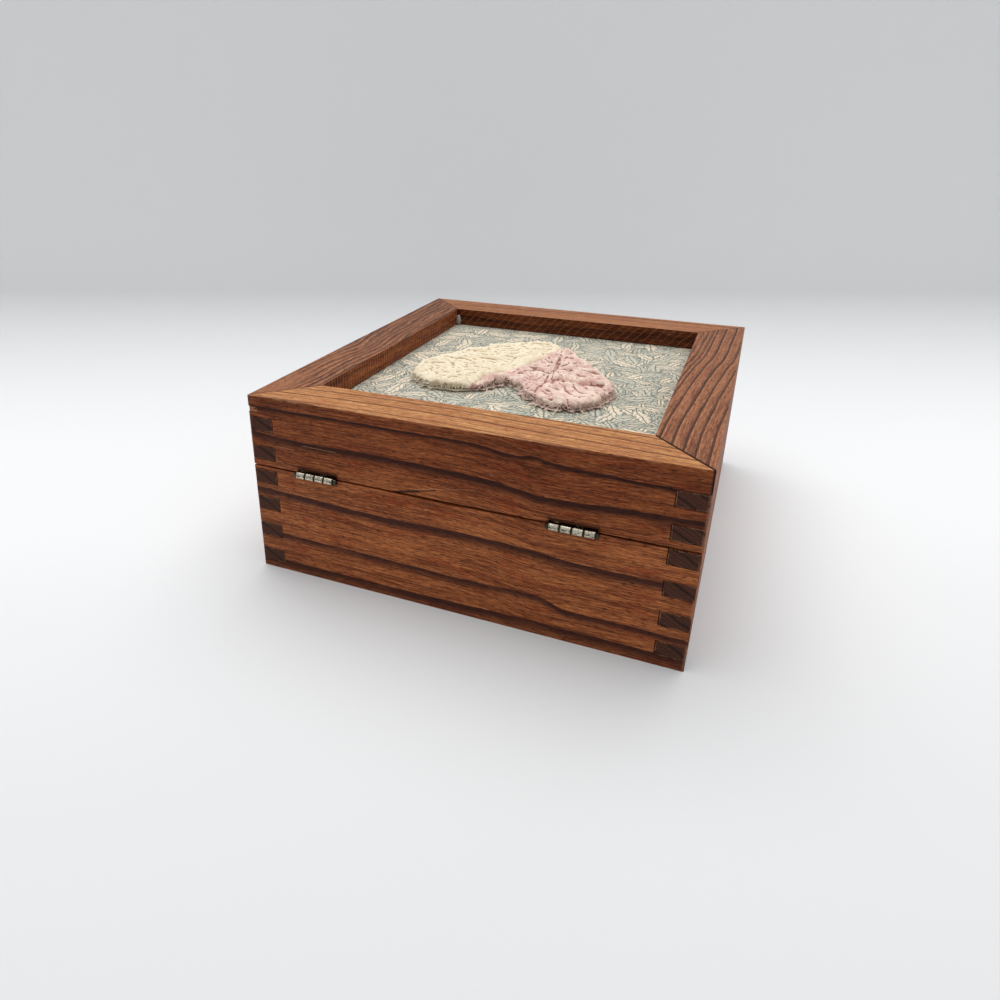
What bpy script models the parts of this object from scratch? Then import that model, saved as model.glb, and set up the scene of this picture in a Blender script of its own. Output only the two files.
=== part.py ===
"""Wooden keepsake box with a box-jointed body, a hinged lid and a padded heart in the lid's panel.

Metres, +Z up. The origin is at the middle of the underside. The front, which opens, faces -Y,
and the hinges are at +Y. Left is -X and right is +X, as seen from the front.
"""

import math

import bmesh
import bpy
from mathutils import Vector

# The box and its saw cut
BOX_WIDTH = 0.180
BOX_DEPTH = 0.194
BOX_HEIGHT = 0.080
WALL_THICKNESS = 0.011
PARTING_HEIGHT = 0.0492
PARTING_GAP = 0.0008
RIM_BOW = 0.0005
RIM_CUTS = 17
ARRIS_ROUND = 0.0005

# Box joints
FINGER_HEIGHT = 0.00635
FINGER_GAP = 0.0002
RIM_STRIP_LEFT = 0.0
RIM_STRIP_RIGHT = 0.0014
LAST_STRIP = 0.0015

# Bottom panel in its rebate
BOTTOM_THICKNESS = 0.005
REBATE_WIDTH = 0.005
FIT_GAP = 0.0003

# Mitred top frame
RAIL_WIDTH = 0.022
RAIL_THICKNESS = 0.0088
RAIL_GLUE_GAP = 0.0001
MITRE_GAP = 0.0002
OPEN_MITRE_GAP = 0.0005
MITRE_TIP_CUT = 0.0004
KEY_LEG = 0.0047
KEY_THICKNESS = 0.0021
KEY_DEPTH_BELOW_TOP = 0.0048
KEY_GAP = 0.0002
KEY_SET_BACK = 0.0008

# Fabric-covered panel
BOARD_THICKNESS = 0.003
FABRIC_THICKNESS = 0.0007

# Padded heart: its outline from above, about the middle of the panel, in shares of its width
HEART_WIDTH = 0.0945
HEART_HEIGHT = 0.0052
HEART_SEAM_GAP = 0.0003
HEART_POINTS_AROUND = 40
HEART_SEAM_POINTS = 13
HEART_NOTCH = (0.049, 0.198)
HEART_TIP = (0.005, -0.480)
HEART_RIGHT_SIDE = (
    (0.122, 0.317),
    (0.286, 0.400),
    (0.462, 0.358),
    (0.541, 0.205),
    (0.524, 0.042),
    (0.410, -0.172),
    (0.254, -0.355),
)
HEART_LEFT_SIDE = (
    (-0.042, 0.317),
    (-0.159, 0.429),
    (-0.286, 0.444),
    (-0.413, 0.349),
    (-0.459, 0.180),
    (-0.394, 0.010),
    (-0.216, -0.225),
)
HEART_SEAM = (
    (0.066, 0.055),
    (0.020, -0.110),
    (-0.012, -0.265),
    (-0.014, -0.400),
)
# Share of the outline's size and share of the height, from the edge to the crown
HEART_CROWN = (
    (1.0, 0.0),
    (1.0, 0.38),
    (0.95, 0.66),
    (0.84, 0.85),
    (0.62, 0.96),
    (0.32, 1.0),
)

# Butt hinges
HINGE_LEFT_FROM_END = 0.0438
HINGE_RIGHT_FROM_END = 0.0310
HINGE_LENGTH = 0.0172
KNUCKLE_COUNT = 4
KNUCKLE_GAP = 0.00025
BARREL_RADIUS = 0.00148
BARREL_CLEARANCE = 0.0003
PIN_RADIUS = 0.0006
PIN_CLEARANCE = 0.00015
PIN_HEAD_RADIUS = 0.0012
PIN_HEAD_LENGTH = 0.0009
PIN_HEAD_TAPER = 0.7
LEAF_WIDTH = 0.0068
LEAF_THICKNESS = 0.0008
LEAF_GAP = 0.0002
ROUND_SIDES = 20
SHARP_ANGLE = math.radians(40)

# Hinge screws, two in each leaf
SCREW_SPACING = 0.0105
SCREW_LENGTH = 0.0060
SCREW_HEAD_RADIUS = 0.0015
SCREW_SHANK_RADIUS = 0.0007
SCREW_HEAD_DEPTH = 0.0006
SCREW_GAP = 0.00015
SCREW_SLOT_WIDTH = 0.0004
SCREW_SLOT_DEPTH = 0.00025

# How far a cutter runs past the face it cuts, and how close two places are when they count as one
CUT_MARGIN = 0.002
SAME_PLACE = 0.000001

# Places worked out from the sizes above
HALF_WIDTH = BOX_WIDTH / 2
HALF_DEPTH = BOX_DEPTH / 2
INNER_HALF_WIDTH = HALF_WIDTH - WALL_THICKNESS
INNER_HALF_DEPTH = HALF_DEPTH - WALL_THICKNESS
BOX_RIM = PARTING_HEIGHT - PARTING_GAP / 2
LID_RIM = PARTING_HEIGHT + PARTING_GAP / 2
RAIL_UNDERSIDE = BOX_HEIGHT - RAIL_THICKNESS
LID_WALL_TOP = RAIL_UNDERSIDE - RAIL_GLUE_GAP
FABRIC_TOP = RAIL_UNDERSIDE - FIT_GAP
FABRIC_BOTTOM = FABRIC_TOP - FABRIC_THICKNESS
BOARD_TOP = FABRIC_BOTTOM - FIT_GAP
AXIS_Y = HALF_DEPTH + BARREL_RADIUS + BARREL_CLEARANCE
HINGES = {"left": HINGE_LEFT_FROM_END - HALF_WIDTH, "right": HALF_WIDTH - HINGE_RIGHT_FROM_END}


def clear_scene():
    for old in list(bpy.data.objects):
        bpy.data.objects.remove(old, do_unlink=True)


def new_collection(name):
    collection = bpy.data.collections.new(name)
    bpy.context.scene.collection.children.link(collection)
    return collection


def make_material(name, colour, roughness, metallic=0.0):
    material = bpy.data.materials.new(name)
    material.use_nodes = True
    shader = material.node_tree.nodes["Principled BSDF"]
    shader.inputs["Base Color"].default_value = (*colour, 1.0)
    shader.inputs["Roughness"].default_value = roughness
    shader.inputs["Metallic"].default_value = metallic
    return material


def add_object(name, bm, collection, material=None, parent=None):
    """Make an object of a mesh, with its faces pointing out."""
    bmesh.ops.recalc_face_normals(bm, faces=bm.faces)
    if bm.calc_volume(signed=True) < 0:
        bmesh.ops.reverse_faces(bm, faces=bm.faces)
    mesh = bpy.data.meshes.new(name)
    bm.to_mesh(mesh)
    bm.free()
    obj = bpy.data.objects.new(name, mesh)
    collection.objects.link(obj)
    if material:
        mesh.materials.append(material.copy())
    if parent:
        obj.parent = parent
        obj.matrix_parent_inverse = parent.matrix_basis.inverted()
    return obj


def add_cutter(name, bm):
    cutter = add_object(name, bm, CUTTERS)
    cutter.hide_render = True
    cutter.display_type = "WIRE"
    return cutter


def cut(obj, cutter, operation="DIFFERENCE"):
    modifier = obj.modifiers.new(cutter.name, "BOOLEAN")
    modifier.operation = operation
    modifier.object = cutter
    modifier.solver = "EXACT"


def add_block(bm, low, high):
    """Add a block between two corners to a mesh."""
    block = bmesh.ops.create_cube(bm, size=1.0)["verts"]
    low, high = Vector(low), Vector(high)
    size = high - low
    for vert in block:
        vert.co = (low + high) / 2 + Vector(c * s for c, s in zip(vert.co, size))


def block_mesh(low, high):
    bm = bmesh.new()
    add_block(bm, low, high)
    return bm


def add_rod(bm, centre, length, radius, axis, end_radius=None):
    """Add a round bar centred on a point. A cone's first radius is at the end its axis points away from."""
    end_radius = radius if end_radius is None else end_radius
    made = bmesh.ops.create_cone(
        bm, cap_ends=True, segments=ROUND_SIDES, radius1=radius, radius2=end_radius, depth=length
    )["verts"]
    along_x, along_z = axis[0], axis[2]
    for vert in made:
        x, y, z = vert.co
        turned = (along_x * z, y, -x) if along_x else (x, y, along_z * z)
        vert.co = Vector(centre) + Vector(turned)


def slice_off(bm, point, normal):
    """Cut away what lies past a plane and close the cut."""
    geometry = bm.verts[:] + bm.edges[:] + bm.faces[:]
    bmesh.ops.bisect_plane(bm, geom=geometry, plane_co=point, plane_no=normal, clear_outer=True)
    open_edges = [edge for edge in bm.edges if edge.is_boundary]
    bmesh.ops.holes_fill(bm, edges=open_edges)


def lies_at(point, place):
    return all(abs(getattr(point, axis) - value) < SAME_PLACE for axis, value in place.items())


def round_edges(bm, **place):
    """Round the edges whose two ends lie at a place, such as x=0.09, y=0.097 for an upright corner."""
    edges = [edge for edge in bm.edges if all(lies_at(vert.co, place) for vert in edge.verts)]
    bmesh.ops.bevel(bm, geom=edges, offset=ARRIS_ROUND, segments=2, profile=0.5, affect="EDGES")


def smooth_round(obj):
    obj.data.shade_smooth()
    obj.data.set_sharp_from_angle(angle=SHARP_ANGLE)


def finger_ranges(top, bottom):
    """Heights of the side walls' fingers at one corner, from the top down."""
    ranges = []
    while top - FINGER_HEIGHT > bottom + LAST_STRIP:
        ranges.append((top - FINGER_HEIGHT, top))
        top -= 2 * FINGER_HEIGHT
    return ranges


def gaps_between(ranges, top, bottom):
    """Heights that the fingers leave free, where the front and back walls' fingers go."""
    gaps = []
    above = top
    for low, high in ranges:
        if above - high > FINGER_GAP:
            gaps.append((high, above))
        above = low
    gaps.append((bottom, above))
    return gaps


def notch_mesh(ranges, top, bottom, low_xy, high_xy):
    """Cutter for the notches of one wall end, which run past its top and bottom where they reach them."""
    bm = bmesh.new()
    for low, high in ranges:
        z_low = low - CUT_MARGIN if low <= bottom else low - FINGER_GAP / 2
        z_high = high + CUT_MARGIN if high >= top else high + FINGER_GAP / 2
        add_block(bm, (*low_xy, z_low), (*high_xy, z_high))
    return bm


def end_zone(half_length):
    """Where a notch lies along its wall: through the other wall's thickness and past the end."""
    return half_length - WALL_THICKNESS - FINGER_GAP, half_length + CUT_MARGIN


def dip_rim(bm, rim):
    """Let the rim sag a little between the hinges, as sawn and sanded edges do."""
    start = HINGES["left"] + HINGE_LENGTH
    end = HINGES["right"] - HINGE_LENGTH
    for vert in bm.verts:
        along = (vert.co.x - start) / (end - start)
        if lies_at(vert.co, {"z": rim}) and 0 < along < 1:
            vert.co.z -= RIM_BOW * math.sin(math.pi * along) ** 2


def front_or_back_wall(name, side, bottom, top, strips, material, parent):
    """A wall from left to right. Side is -1 at the front and 1 at the back."""
    outer = side * HALF_DEPTH
    inner = side * INNER_HALF_DEPTH
    bm = block_mesh((-HALF_WIDTH, min(outer, inner), bottom), (HALF_WIDTH, max(outer, inner), top))
    if name == "wall_back":
        along_x = [e for e in bm.edges if abs(e.verts[0].co.x - e.verts[1].co.x) > HALF_WIDTH]
        bmesh.ops.subdivide_edges(bm, edges=along_x, cuts=RIM_CUTS, use_grid_fill=True)
        dip_rim(bm, top)
    for end_side in (-1, 1):
        round_edges(bm, x=end_side * HALF_WIDTH, y=outer)
    wall = add_object(name, bm, PARTS, material, parent)
    y_low = min(outer, inner) - CUT_MARGIN
    y_high = max(outer, inner) + CUT_MARGIN
    start, end = end_zone(HALF_WIDTH)
    for end_name, end_side in (("left", -1), ("right", 1)):
        ranges = finger_ranges(top - strips[end_name], bottom)
        x_low, x_high = sorted((end_side * start, end_side * end))
        notches = notch_mesh(ranges, top, bottom, (x_low, y_low), (x_high, y_high))
        cut(wall, add_cutter(f"{name}_{end_name}_notches", notches))
    return wall


def side_wall(name, side, bottom, top, strip, material, parent):
    """A wall from front to back. Side is -1 at the left and 1 at the right."""
    outer = side * HALF_WIDTH
    inner = side * INNER_HALF_WIDTH
    bm = block_mesh((min(outer, inner), -HALF_DEPTH, bottom), (max(outer, inner), HALF_DEPTH, top))
    for end_side in (-1, 1):
        round_edges(bm, x=outer, y=end_side * HALF_DEPTH)
    wall = add_object(name, bm, PARTS, material, parent)
    ranges = gaps_between(finger_ranges(top - strip, bottom), top, bottom)
    start, end = end_zone(HALF_DEPTH)
    x_low = min(outer, inner) - CUT_MARGIN
    x_high = max(outer, inner) + CUT_MARGIN
    for end_name, end_side in (("front", -1), ("back", 1)):
        y_low, y_high = sorted((end_side * start, end_side * end))
        notches = notch_mesh(ranges, top, bottom, (x_low, y_low), (x_high, y_high))
        cut(wall, add_cutter(f"{name}_{end_name}_notches", notches))
    return wall


def four_walls(prefix, bottom, top, strips, material, parent):
    walls = {}
    for place, side in (("front", -1), ("back", 1)):
        name = f"{prefix}_{place}"
        walls[place] = front_or_back_wall(name, side, bottom, top, strips, material, parent)
    for place, side in (("left", -1), ("right", 1)):
        name = f"{prefix}_{place}"
        walls[place] = side_wall(name, side, bottom, top, strips[place], material, parent)
    return walls


def bottom_panel(walls, parent):
    """Thin panel flush with the underside, in a rebate routed round the inside of the walls."""
    reach_x = INNER_HALF_WIDTH + REBATE_WIDTH
    reach_y = INNER_HALF_DEPTH + REBATE_WIDTH
    rebate = block_mesh((-reach_x, -reach_y, -CUT_MARGIN), (reach_x, reach_y, BOTTOM_THICKNESS + FIT_GAP))
    cutter = add_cutter("bottom_rebate", rebate)
    for wall in walls.values():
        cut(wall, cutter)
    panel_x, panel_y = reach_x - FIT_GAP, reach_y - FIT_GAP
    panel = block_mesh((-panel_x, -panel_y, 0), (panel_x, panel_y, BOTTOM_THICKNESS))
    add_object("bottom_panel", panel, PARTS, PANEL_WOOD, parent)


def top_rail(name, place, parent):
    """One rail of the mitred frame, modelled at the back and turned to its place."""
    quarter_turns = {"back": 0, "left": 1, "front": 2, "right": 3}[place]
    across_box = quarter_turns % 2 == 0
    half_length, half_across = (HALF_WIDTH, HALF_DEPTH) if across_box else (HALF_DEPTH, HALF_WIDTH)
    bm = block_mesh(
        (-half_length, half_across - RAIL_WIDTH, RAIL_UNDERSIDE), (half_length, half_across, BOX_HEIGHT)
    )
    round_edges(bm, y=half_across, z=BOX_HEIGHT)
    # The mitre at the left back corner has opened a little
    open_ends = {"back": -1, "left": 1}
    for end in (-1, 1):
        gap = OPEN_MITRE_GAP if open_ends.get(place) == end else MITRE_GAP
        corner = Vector((end * (half_length - gap / math.sqrt(2)), half_across, 0))
        slice_off(bm, corner, Vector((end, -1, 0)).normalized())
        tip = Vector((end * (half_length - MITRE_TIP_CUT), half_across, 0))
        slice_off(bm, tip, Vector((end, 1, 0)).normalized())
    turn = quarter_turns * math.pi / 2
    for vert in bm.verts:
        x, y = vert.co.x, vert.co.y
        vert.co.x = x * math.cos(turn) - y * math.sin(turn)
        vert.co.y = x * math.sin(turn) + y * math.cos(turn)
    return add_object(name, bm, PARTS, RAIL_WOOD, parent)


def key_mesh(leg, low, high, margin=0.0):
    """Three-cornered key across the frame's right back corner, or with a margin, the slot for it."""
    bm = block_mesh((HALF_WIDTH - leg - margin, HALF_DEPTH - leg - margin, low),
                    (HALF_WIDTH + margin, HALF_DEPTH + margin, high))
    slice_off(bm, Vector((HALF_WIDTH, HALF_DEPTH - leg, 0)), Vector((-1, -1, 0)).normalized())
    return bm


def top_frame(parent):
    rails = {}
    for place in ("back", "left", "front", "right"):
        rails[place] = top_rail(f"top_rail_{place}", place, parent)
    key_top = BOX_HEIGHT - KEY_DEPTH_BELOW_TOP
    key_bottom = key_top - KEY_THICKNESS
    key = key_mesh(KEY_LEG, key_bottom, key_top)
    slice_off(key, Vector((HALF_WIDTH - KEY_SET_BACK, HALF_DEPTH, 0)), Vector((1, 1, 0)).normalized())
    add_object("mitre_key", key, PARTS, KEY_WOOD, parent)
    slot = key_mesh(KEY_LEG + KEY_GAP, key_bottom - KEY_GAP, key_top + KEY_GAP, CUT_MARGIN)
    cutter = add_cutter("mitre_key_slot", slot)
    cut(rails["back"], cutter)
    cut(rails["right"], cutter)


def fabric_panel(parent):
    """Board under the rails, and the printed fabric stretched over it."""
    reach_x = INNER_HALF_WIDTH - FIT_GAP
    reach_y = INNER_HALF_DEPTH - FIT_GAP
    board = block_mesh((-reach_x, -reach_y, BOARD_TOP - BOARD_THICKNESS), (reach_x, reach_y, BOARD_TOP))
    add_object("panel_board", board, PARTS, PANEL_WOOD, parent)
    fabric = block_mesh((-reach_x, -reach_y, FABRIC_BOTTOM), (reach_x, reach_y, FABRIC_TOP))
    add_object("panel_fabric", fabric, PARTS, PRINT_CLOTH, parent)


def spline_through(points, count):
    """Evenly numbered points on a smooth curve through the given ones, ends included."""
    points = [Vector(p) for p in points]
    padded = [2 * points[0] - points[1], *points, 2 * points[-1] - points[-2]]
    curve = []
    spans = len(points) - 1
    for i in range(count + 1):
        where = i / count * spans
        span = min(int(where), spans - 1)
        t = where - span
        a, b, c, d = padded[span:span + 4]
        curve.append(0.5 * (2 * b + (c - a) * t + (2 * a - 5 * b + 4 * c - d) * t ** 2
                            + (3 * b - a - 3 * c + d) * t ** 3))
    return curve


def heart_half(name, outer_points, side, material, parent):
    """One stuffed half of the heart. Side is 1 for the right half and -1 for the left."""
    shift = Vector((side * HEART_SEAM_GAP / 2, 0))
    seam_points = [HEART_TIP, *reversed(HEART_SEAM), HEART_NOTCH]
    outer = spline_through([HEART_NOTCH, *outer_points, HEART_TIP], HEART_POINTS_AROUND)
    seam = spline_through(seam_points, HEART_SEAM_POINTS)
    outline = [point * HEART_WIDTH + shift for point in outer[:-1] + seam[:-1]]
    middle = HEART_WIDTH * sum((Vector(p) for p in outer_points), Vector((0, 0))) / len(outer_points)
    bm = bmesh.new()
    rings = []
    for share, height in HEART_CROWN:
        z = FABRIC_TOP + FIT_GAP + height * HEART_HEIGHT
        rings.append([bm.verts.new((*(middle + share * (point - middle)), z)) for point in outline])
    for lower, upper in zip(rings, rings[1:]):
        for i, vert in enumerate(lower):
            after = (i + 1) % len(lower)
            bm.faces.new((vert, lower[after], upper[after], upper[i]))
    bm.faces.new(rings[-1])
    bm.faces.new(reversed(rings[0]))
    heart = add_object(name, bm, PARTS, material, parent)
    smooth_round(heart)


def knuckle_spans(centre_x):
    """Where each knuckle starts and ends along the hinge."""
    length = (HINGE_LENGTH - (KNUCKLE_COUNT - 1) * KNUCKLE_GAP) / KNUCKLE_COUNT
    start = centre_x - HINGE_LENGTH / 2
    starts = [start + i * (length + KNUCKLE_GAP) for i in range(KNUCKLE_COUNT)]
    return [(knuckle_start, knuckle_start + length) for knuckle_start in starts]


def hinge_leaf(name, centre_x, lid_side, spans, wall, parent):
    """One leaf let into the edge of a back wall, with its own knuckles round the pin."""
    face = PARTING_HEIGHT + lid_side * PARTING_GAP / 2
    back = face + lid_side * LEAF_THICKNESS
    plate_end = HALF_DEPTH - FIT_GAP
    low_x, high_x = centre_x - HINGE_LENGTH / 2, centre_x + HINGE_LENGTH / 2
    low_z, high_z = min(face, back), max(face, back)
    plate = block_mesh((low_x, plate_end - LEAF_WIDTH, low_z), (high_x, plate_end, high_z))
    leaf = add_object(name, plate, PARTS, NICKEL, parent)
    bore = PIN_RADIUS + PIN_CLEARANCE
    for i, (start, end) in enumerate(spans):
        middle = ((start + end) / 2, AXIS_Y, PARTING_HEIGHT)
        barrel = bmesh.new()
        add_rod(barrel, middle, end - start, BARREL_RADIUS, (1, 0, 0))
        cut(leaf, add_cutter(f"{name}_barrel_{i}", barrel), "UNION")
        tongue_end = AXIS_Y - bore
        tongue = block_mesh((start, plate_end - FIT_GAP, low_z), (end, tongue_end, high_z))
        cut(leaf, add_cutter(f"{name}_tongue_{i}", tongue), "UNION")
    hole = bmesh.new()
    add_rod(hole, (centre_x, AXIS_Y, PARTING_HEIGHT), HINGE_LENGTH + 2 * CUT_MARGIN, bore, (1, 0, 0))
    cut(leaf, add_cutter(f"{name}_bore", hole))
    mortise_low, mortise_high = sorted((face - lid_side * CUT_MARGIN, back + lid_side * LEAF_GAP))
    mortise = block_mesh(
        (low_x - LEAF_GAP, plate_end - LEAF_WIDTH - LEAF_GAP, mortise_low),
        (high_x + LEAF_GAP, HALF_DEPTH + CUT_MARGIN, mortise_high),
    )
    cut(wall, add_cutter(f"{name}_mortise", mortise))
    leaf_screws(name, centre_x, lid_side, face, leaf, wall, parent)


def screw_head_mesh(x, y, face, lid_side, extra):
    """A screw's countersunk head, or with some extra all round, the countersink for it."""
    bm = bmesh.new()
    out = extra + (CUT_MARGIN if extra else 0)
    head = SCREW_HEAD_DEPTH + out
    # The head's cone widens past the leaf's face at the same slope
    slope = (SCREW_HEAD_RADIUS - SCREW_SHANK_RADIUS) / SCREW_HEAD_DEPTH
    wide = SCREW_HEAD_RADIUS + extra + out * slope
    narrow = SCREW_SHANK_RADIUS + extra
    head_middle = face + lid_side * (SCREW_HEAD_DEPTH - out) / 2
    add_rod(bm, (x, y, head_middle), head, wide, (0, 0, lid_side), narrow)
    return bm


def screw_mesh(x, y, start, lid_side):
    """A countersunk head drawn out into its shank, before its slot is cut."""
    bm = screw_head_mesh(x, y, start, lid_side, 0)
    narrow_end = max(bm.faces, key=lambda face: lid_side * face.calc_center_median().z)
    drawn = bmesh.ops.extrude_face_region(bm, geom=[narrow_end])["geom"]
    bmesh.ops.delete(bm, geom=[narrow_end], context="FACES_ONLY")
    tip = [item for item in drawn if isinstance(item, bmesh.types.BMVert)]
    shank = Vector((0, 0, lid_side * (SCREW_LENGTH - SCREW_HEAD_DEPTH)))
    bmesh.ops.translate(bm, verts=tip, vec=shank)
    return bm


def leaf_screws(name, centre_x, lid_side, face, leaf, wall, parent):
    y = HALF_DEPTH - FIT_GAP - LEAF_WIDTH / 2
    for place, side in (("left", -1), ("right", 1)):
        x = centre_x + side * SCREW_SPACING / 2
        screw_name = f"{name.replace('leaf', 'screw')}_{place}"
        start = face + lid_side * SCREW_GAP
        screw = add_object(screw_name, screw_mesh(x, y, start, lid_side), PARTS, SCREW_STEEL, parent)
        slot_low, slot_high = sorted((start - lid_side * CUT_MARGIN, start + lid_side * SCREW_SLOT_DEPTH))
        slot_reach = SCREW_HEAD_RADIUS + CUT_MARGIN
        slot = block_mesh((x - slot_reach, y - SCREW_SLOT_WIDTH / 2, slot_low),
                          (x + slot_reach, y + SCREW_SLOT_WIDTH / 2, slot_high))
        cut(screw, add_cutter(f"{screw_name}_slot", slot))
        sink = add_cutter(f"{screw_name}_sink", screw_head_mesh(x, y, start, lid_side, SCREW_GAP))
        cut(leaf, sink)
        cut(wall, sink)
        pilot = bmesh.new()
        pilot_end = start + lid_side * (SCREW_LENGTH + SCREW_GAP)
        pilot_start = face - lid_side * CUT_MARGIN
        add_rod(pilot, (x, y, (pilot_start + pilot_end) / 2), abs(pilot_end - pilot_start),
                SCREW_SHANK_RADIUS + SCREW_GAP, (0, 0, 1))
        pilot_cutter = add_cutter(f"{screw_name}_pilot", pilot)
        cut(leaf, pilot_cutter)
        cut(wall, pilot_cutter)


def hinge_pin(name, centre_x, parent):
    """Pin with a small rivet head at each end of the barrel."""
    bm = bmesh.new()
    length = HINGE_LENGTH + 2 * KNUCKLE_GAP
    add_rod(bm, (centre_x, AXIS_Y, PARTING_HEIGHT), length + PIN_HEAD_LENGTH, PIN_RADIUS, (1, 0, 0))
    pin = add_object(name, bm, PARTS, NICKEL, parent)
    for side in (-1, 1):
        head = bmesh.new()
        middle = (centre_x + side * (length + PIN_HEAD_LENGTH) / 2, AXIS_Y, PARTING_HEIGHT)
        add_rod(head, middle, PIN_HEAD_LENGTH, PIN_HEAD_RADIUS, (side, 0, 0), PIN_HEAD_RADIUS * PIN_HEAD_TAPER)
        cut(pin, add_cutter(f"{name}_head_{'left' if side < 0 else 'right'}", head), "UNION")
    smooth_round(pin)


clear_scene()
PARTS = new_collection("keepsake_box")
CUTTERS = new_collection("cutters")

DARK_WOOD = make_material("stained_softwood", (0.20, 0.075, 0.032), 0.5)
RAIL_WOOD = make_material("rail_softwood", (0.42, 0.19, 0.08), 0.45)
PANEL_WOOD = make_material("plain_panel", (0.45, 0.30, 0.17), 0.6)
KEY_WOOD = make_material("pale_key", (0.50, 0.27, 0.13), 0.5)
PRINT_CLOTH = make_material("leafy_print", (0.52, 0.58, 0.52), 0.9)
CREAM_CLOTH = make_material("cream_cloth", (0.82, 0.72, 0.55), 0.95)
PINK_CLOTH = make_material("pink_cloth", (0.62, 0.38, 0.33), 0.95)
NICKEL = make_material("nickel", (0.62, 0.58, 0.48), 0.3, 1.0)
SCREW_STEEL = make_material("screw_steel", (0.45, 0.42, 0.36), 0.35, 1.0)

lid = bpy.data.objects.new("lid_on_hinge_axis", None)
lid.location = (0, AXIS_Y, PARTING_HEIGHT)
PARTS.objects.link(lid)

box_strips = {"left": RIM_STRIP_LEFT, "right": RIM_STRIP_RIGHT}
lid_strips = {"left": 0.0, "right": 0.0}
box_walls = four_walls("wall", 0.0, BOX_RIM, box_strips, DARK_WOOD, None)
bottom_panel(box_walls, None)
lid_walls = four_walls("lid_wall", LID_RIM, LID_WALL_TOP, lid_strips, DARK_WOOD, lid)
top_frame(lid)
fabric_panel(lid)
heart_half("heart_cream", HEART_RIGHT_SIDE, 1, CREAM_CLOTH, lid)
heart_half("heart_pink", HEART_LEFT_SIDE, -1, PINK_CLOTH, lid)
for hinge, hinge_x in HINGES.items():
    all_spans = knuckle_spans(hinge_x)
    hinge_leaf(f"lid_leaf_{hinge}", hinge_x, 1, all_spans[0::2], lid_walls["back"], lid)
    hinge_leaf(f"box_leaf_{hinge}", hinge_x, -1, all_spans[1::2], box_walls["back"], None)
    hinge_pin(f"hinge_pin_{hinge}", hinge_x, None)
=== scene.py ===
# Looks of the wooden keepsake box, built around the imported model.
import math
import random
from collections import namedtuple

import bpy
import numpy as np
from mathutils import Euler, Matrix, Vector, geometry, noise


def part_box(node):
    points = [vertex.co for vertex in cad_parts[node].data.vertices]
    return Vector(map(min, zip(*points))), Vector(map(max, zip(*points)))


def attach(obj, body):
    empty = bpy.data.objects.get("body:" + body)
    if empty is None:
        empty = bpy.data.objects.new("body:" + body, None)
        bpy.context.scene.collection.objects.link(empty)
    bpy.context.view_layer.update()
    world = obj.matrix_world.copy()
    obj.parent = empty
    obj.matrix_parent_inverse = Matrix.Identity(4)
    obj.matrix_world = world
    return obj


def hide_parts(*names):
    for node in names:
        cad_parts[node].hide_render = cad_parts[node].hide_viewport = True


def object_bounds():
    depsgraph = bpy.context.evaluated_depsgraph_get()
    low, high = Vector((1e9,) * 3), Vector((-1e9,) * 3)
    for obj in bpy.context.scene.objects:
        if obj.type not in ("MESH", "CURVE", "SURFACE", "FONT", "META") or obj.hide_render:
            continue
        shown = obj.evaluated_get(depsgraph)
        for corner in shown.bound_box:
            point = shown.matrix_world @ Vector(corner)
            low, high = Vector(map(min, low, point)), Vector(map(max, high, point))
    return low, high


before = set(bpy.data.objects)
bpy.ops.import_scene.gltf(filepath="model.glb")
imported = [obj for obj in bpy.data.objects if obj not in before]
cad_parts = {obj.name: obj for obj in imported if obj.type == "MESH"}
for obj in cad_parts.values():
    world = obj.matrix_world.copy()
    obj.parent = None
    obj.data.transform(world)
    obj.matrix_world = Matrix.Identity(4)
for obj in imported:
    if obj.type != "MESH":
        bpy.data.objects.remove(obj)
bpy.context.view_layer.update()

MM = 0.001

# Camera, found from the box's corners
CAMERA_PLACE = (-0.09284, 0.32292, 0.18055)
CAMERA_ANGLES = (66.66, -0.05, 203.107)
CAMERA_LENS = 26.459
CAMERA_SENSOR = 36.0
CAMERA_SHIFT = (0.0561, -0.0596)

# Floor and backdrop, in metres
STAGE_TURN = math.radians(23.1)
FLOOR_HALF_WIDTH = 3.0
FLOOR_FRONT = 2.0
BACKDROP_START = -0.33
BACKDROP_RADIUS = 0.035
BACKDROP_HEIGHT = 0.42
BACKDROP_STEPS = 16
PAPER = (0.80, 0.80, 0.80)
# Painted shade that greys the paper towards the front
PAPER_PAINTED_SHADE = (0.615, 0.615, 0.615)

# Light
ROOM_COLOUR = (0.93, 0.97, 1.0, 1.0)
ROOM_STRENGTH = 0.50
KEY_PLACE = (0.14, -0.35, 1.8)
KEY_SIZE = (2.6, 2.2)
KEY_POWER = 42.0

# Sizes taken from the frame, in millimetres
BOX_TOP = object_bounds()[1].z * 1000
BACK_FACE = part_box("wall_back")[1].y * 1000
SIDE_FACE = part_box("wall_right")[1].x * 1000
FABRIC_LOW, FABRIC_HIGH = (corner * 1000 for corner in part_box("panel_fabric"))
FABRIC_TOP = FABRIC_HIGH.z
RAIL_INNER_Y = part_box("top_rail_back")[0].y * 1000
RAIL_INNER_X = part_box("top_rail_right")[0].x * 1000

# Box joint, in millimetres. The lid's topmost fingers start under the rails.
WALL_THICKNESS = SIDE_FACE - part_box("wall_right")[0].x * 1000
FINGER_PITCH = 12.7
PARTING = 49.2
BOX_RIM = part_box("wall_back")[1].z * 1000
LID_FINGER_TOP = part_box("lid_wall_back")[1].z * 1000
RIGHT_RIM_STRIP = 1.4

# Hinges: knuckles in each, and half the height of the barrel and of the painted shade round it, in
# millimetres
KNUCKLES = 4
HINGE_HALF_HEIGHT = 1.9

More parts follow.
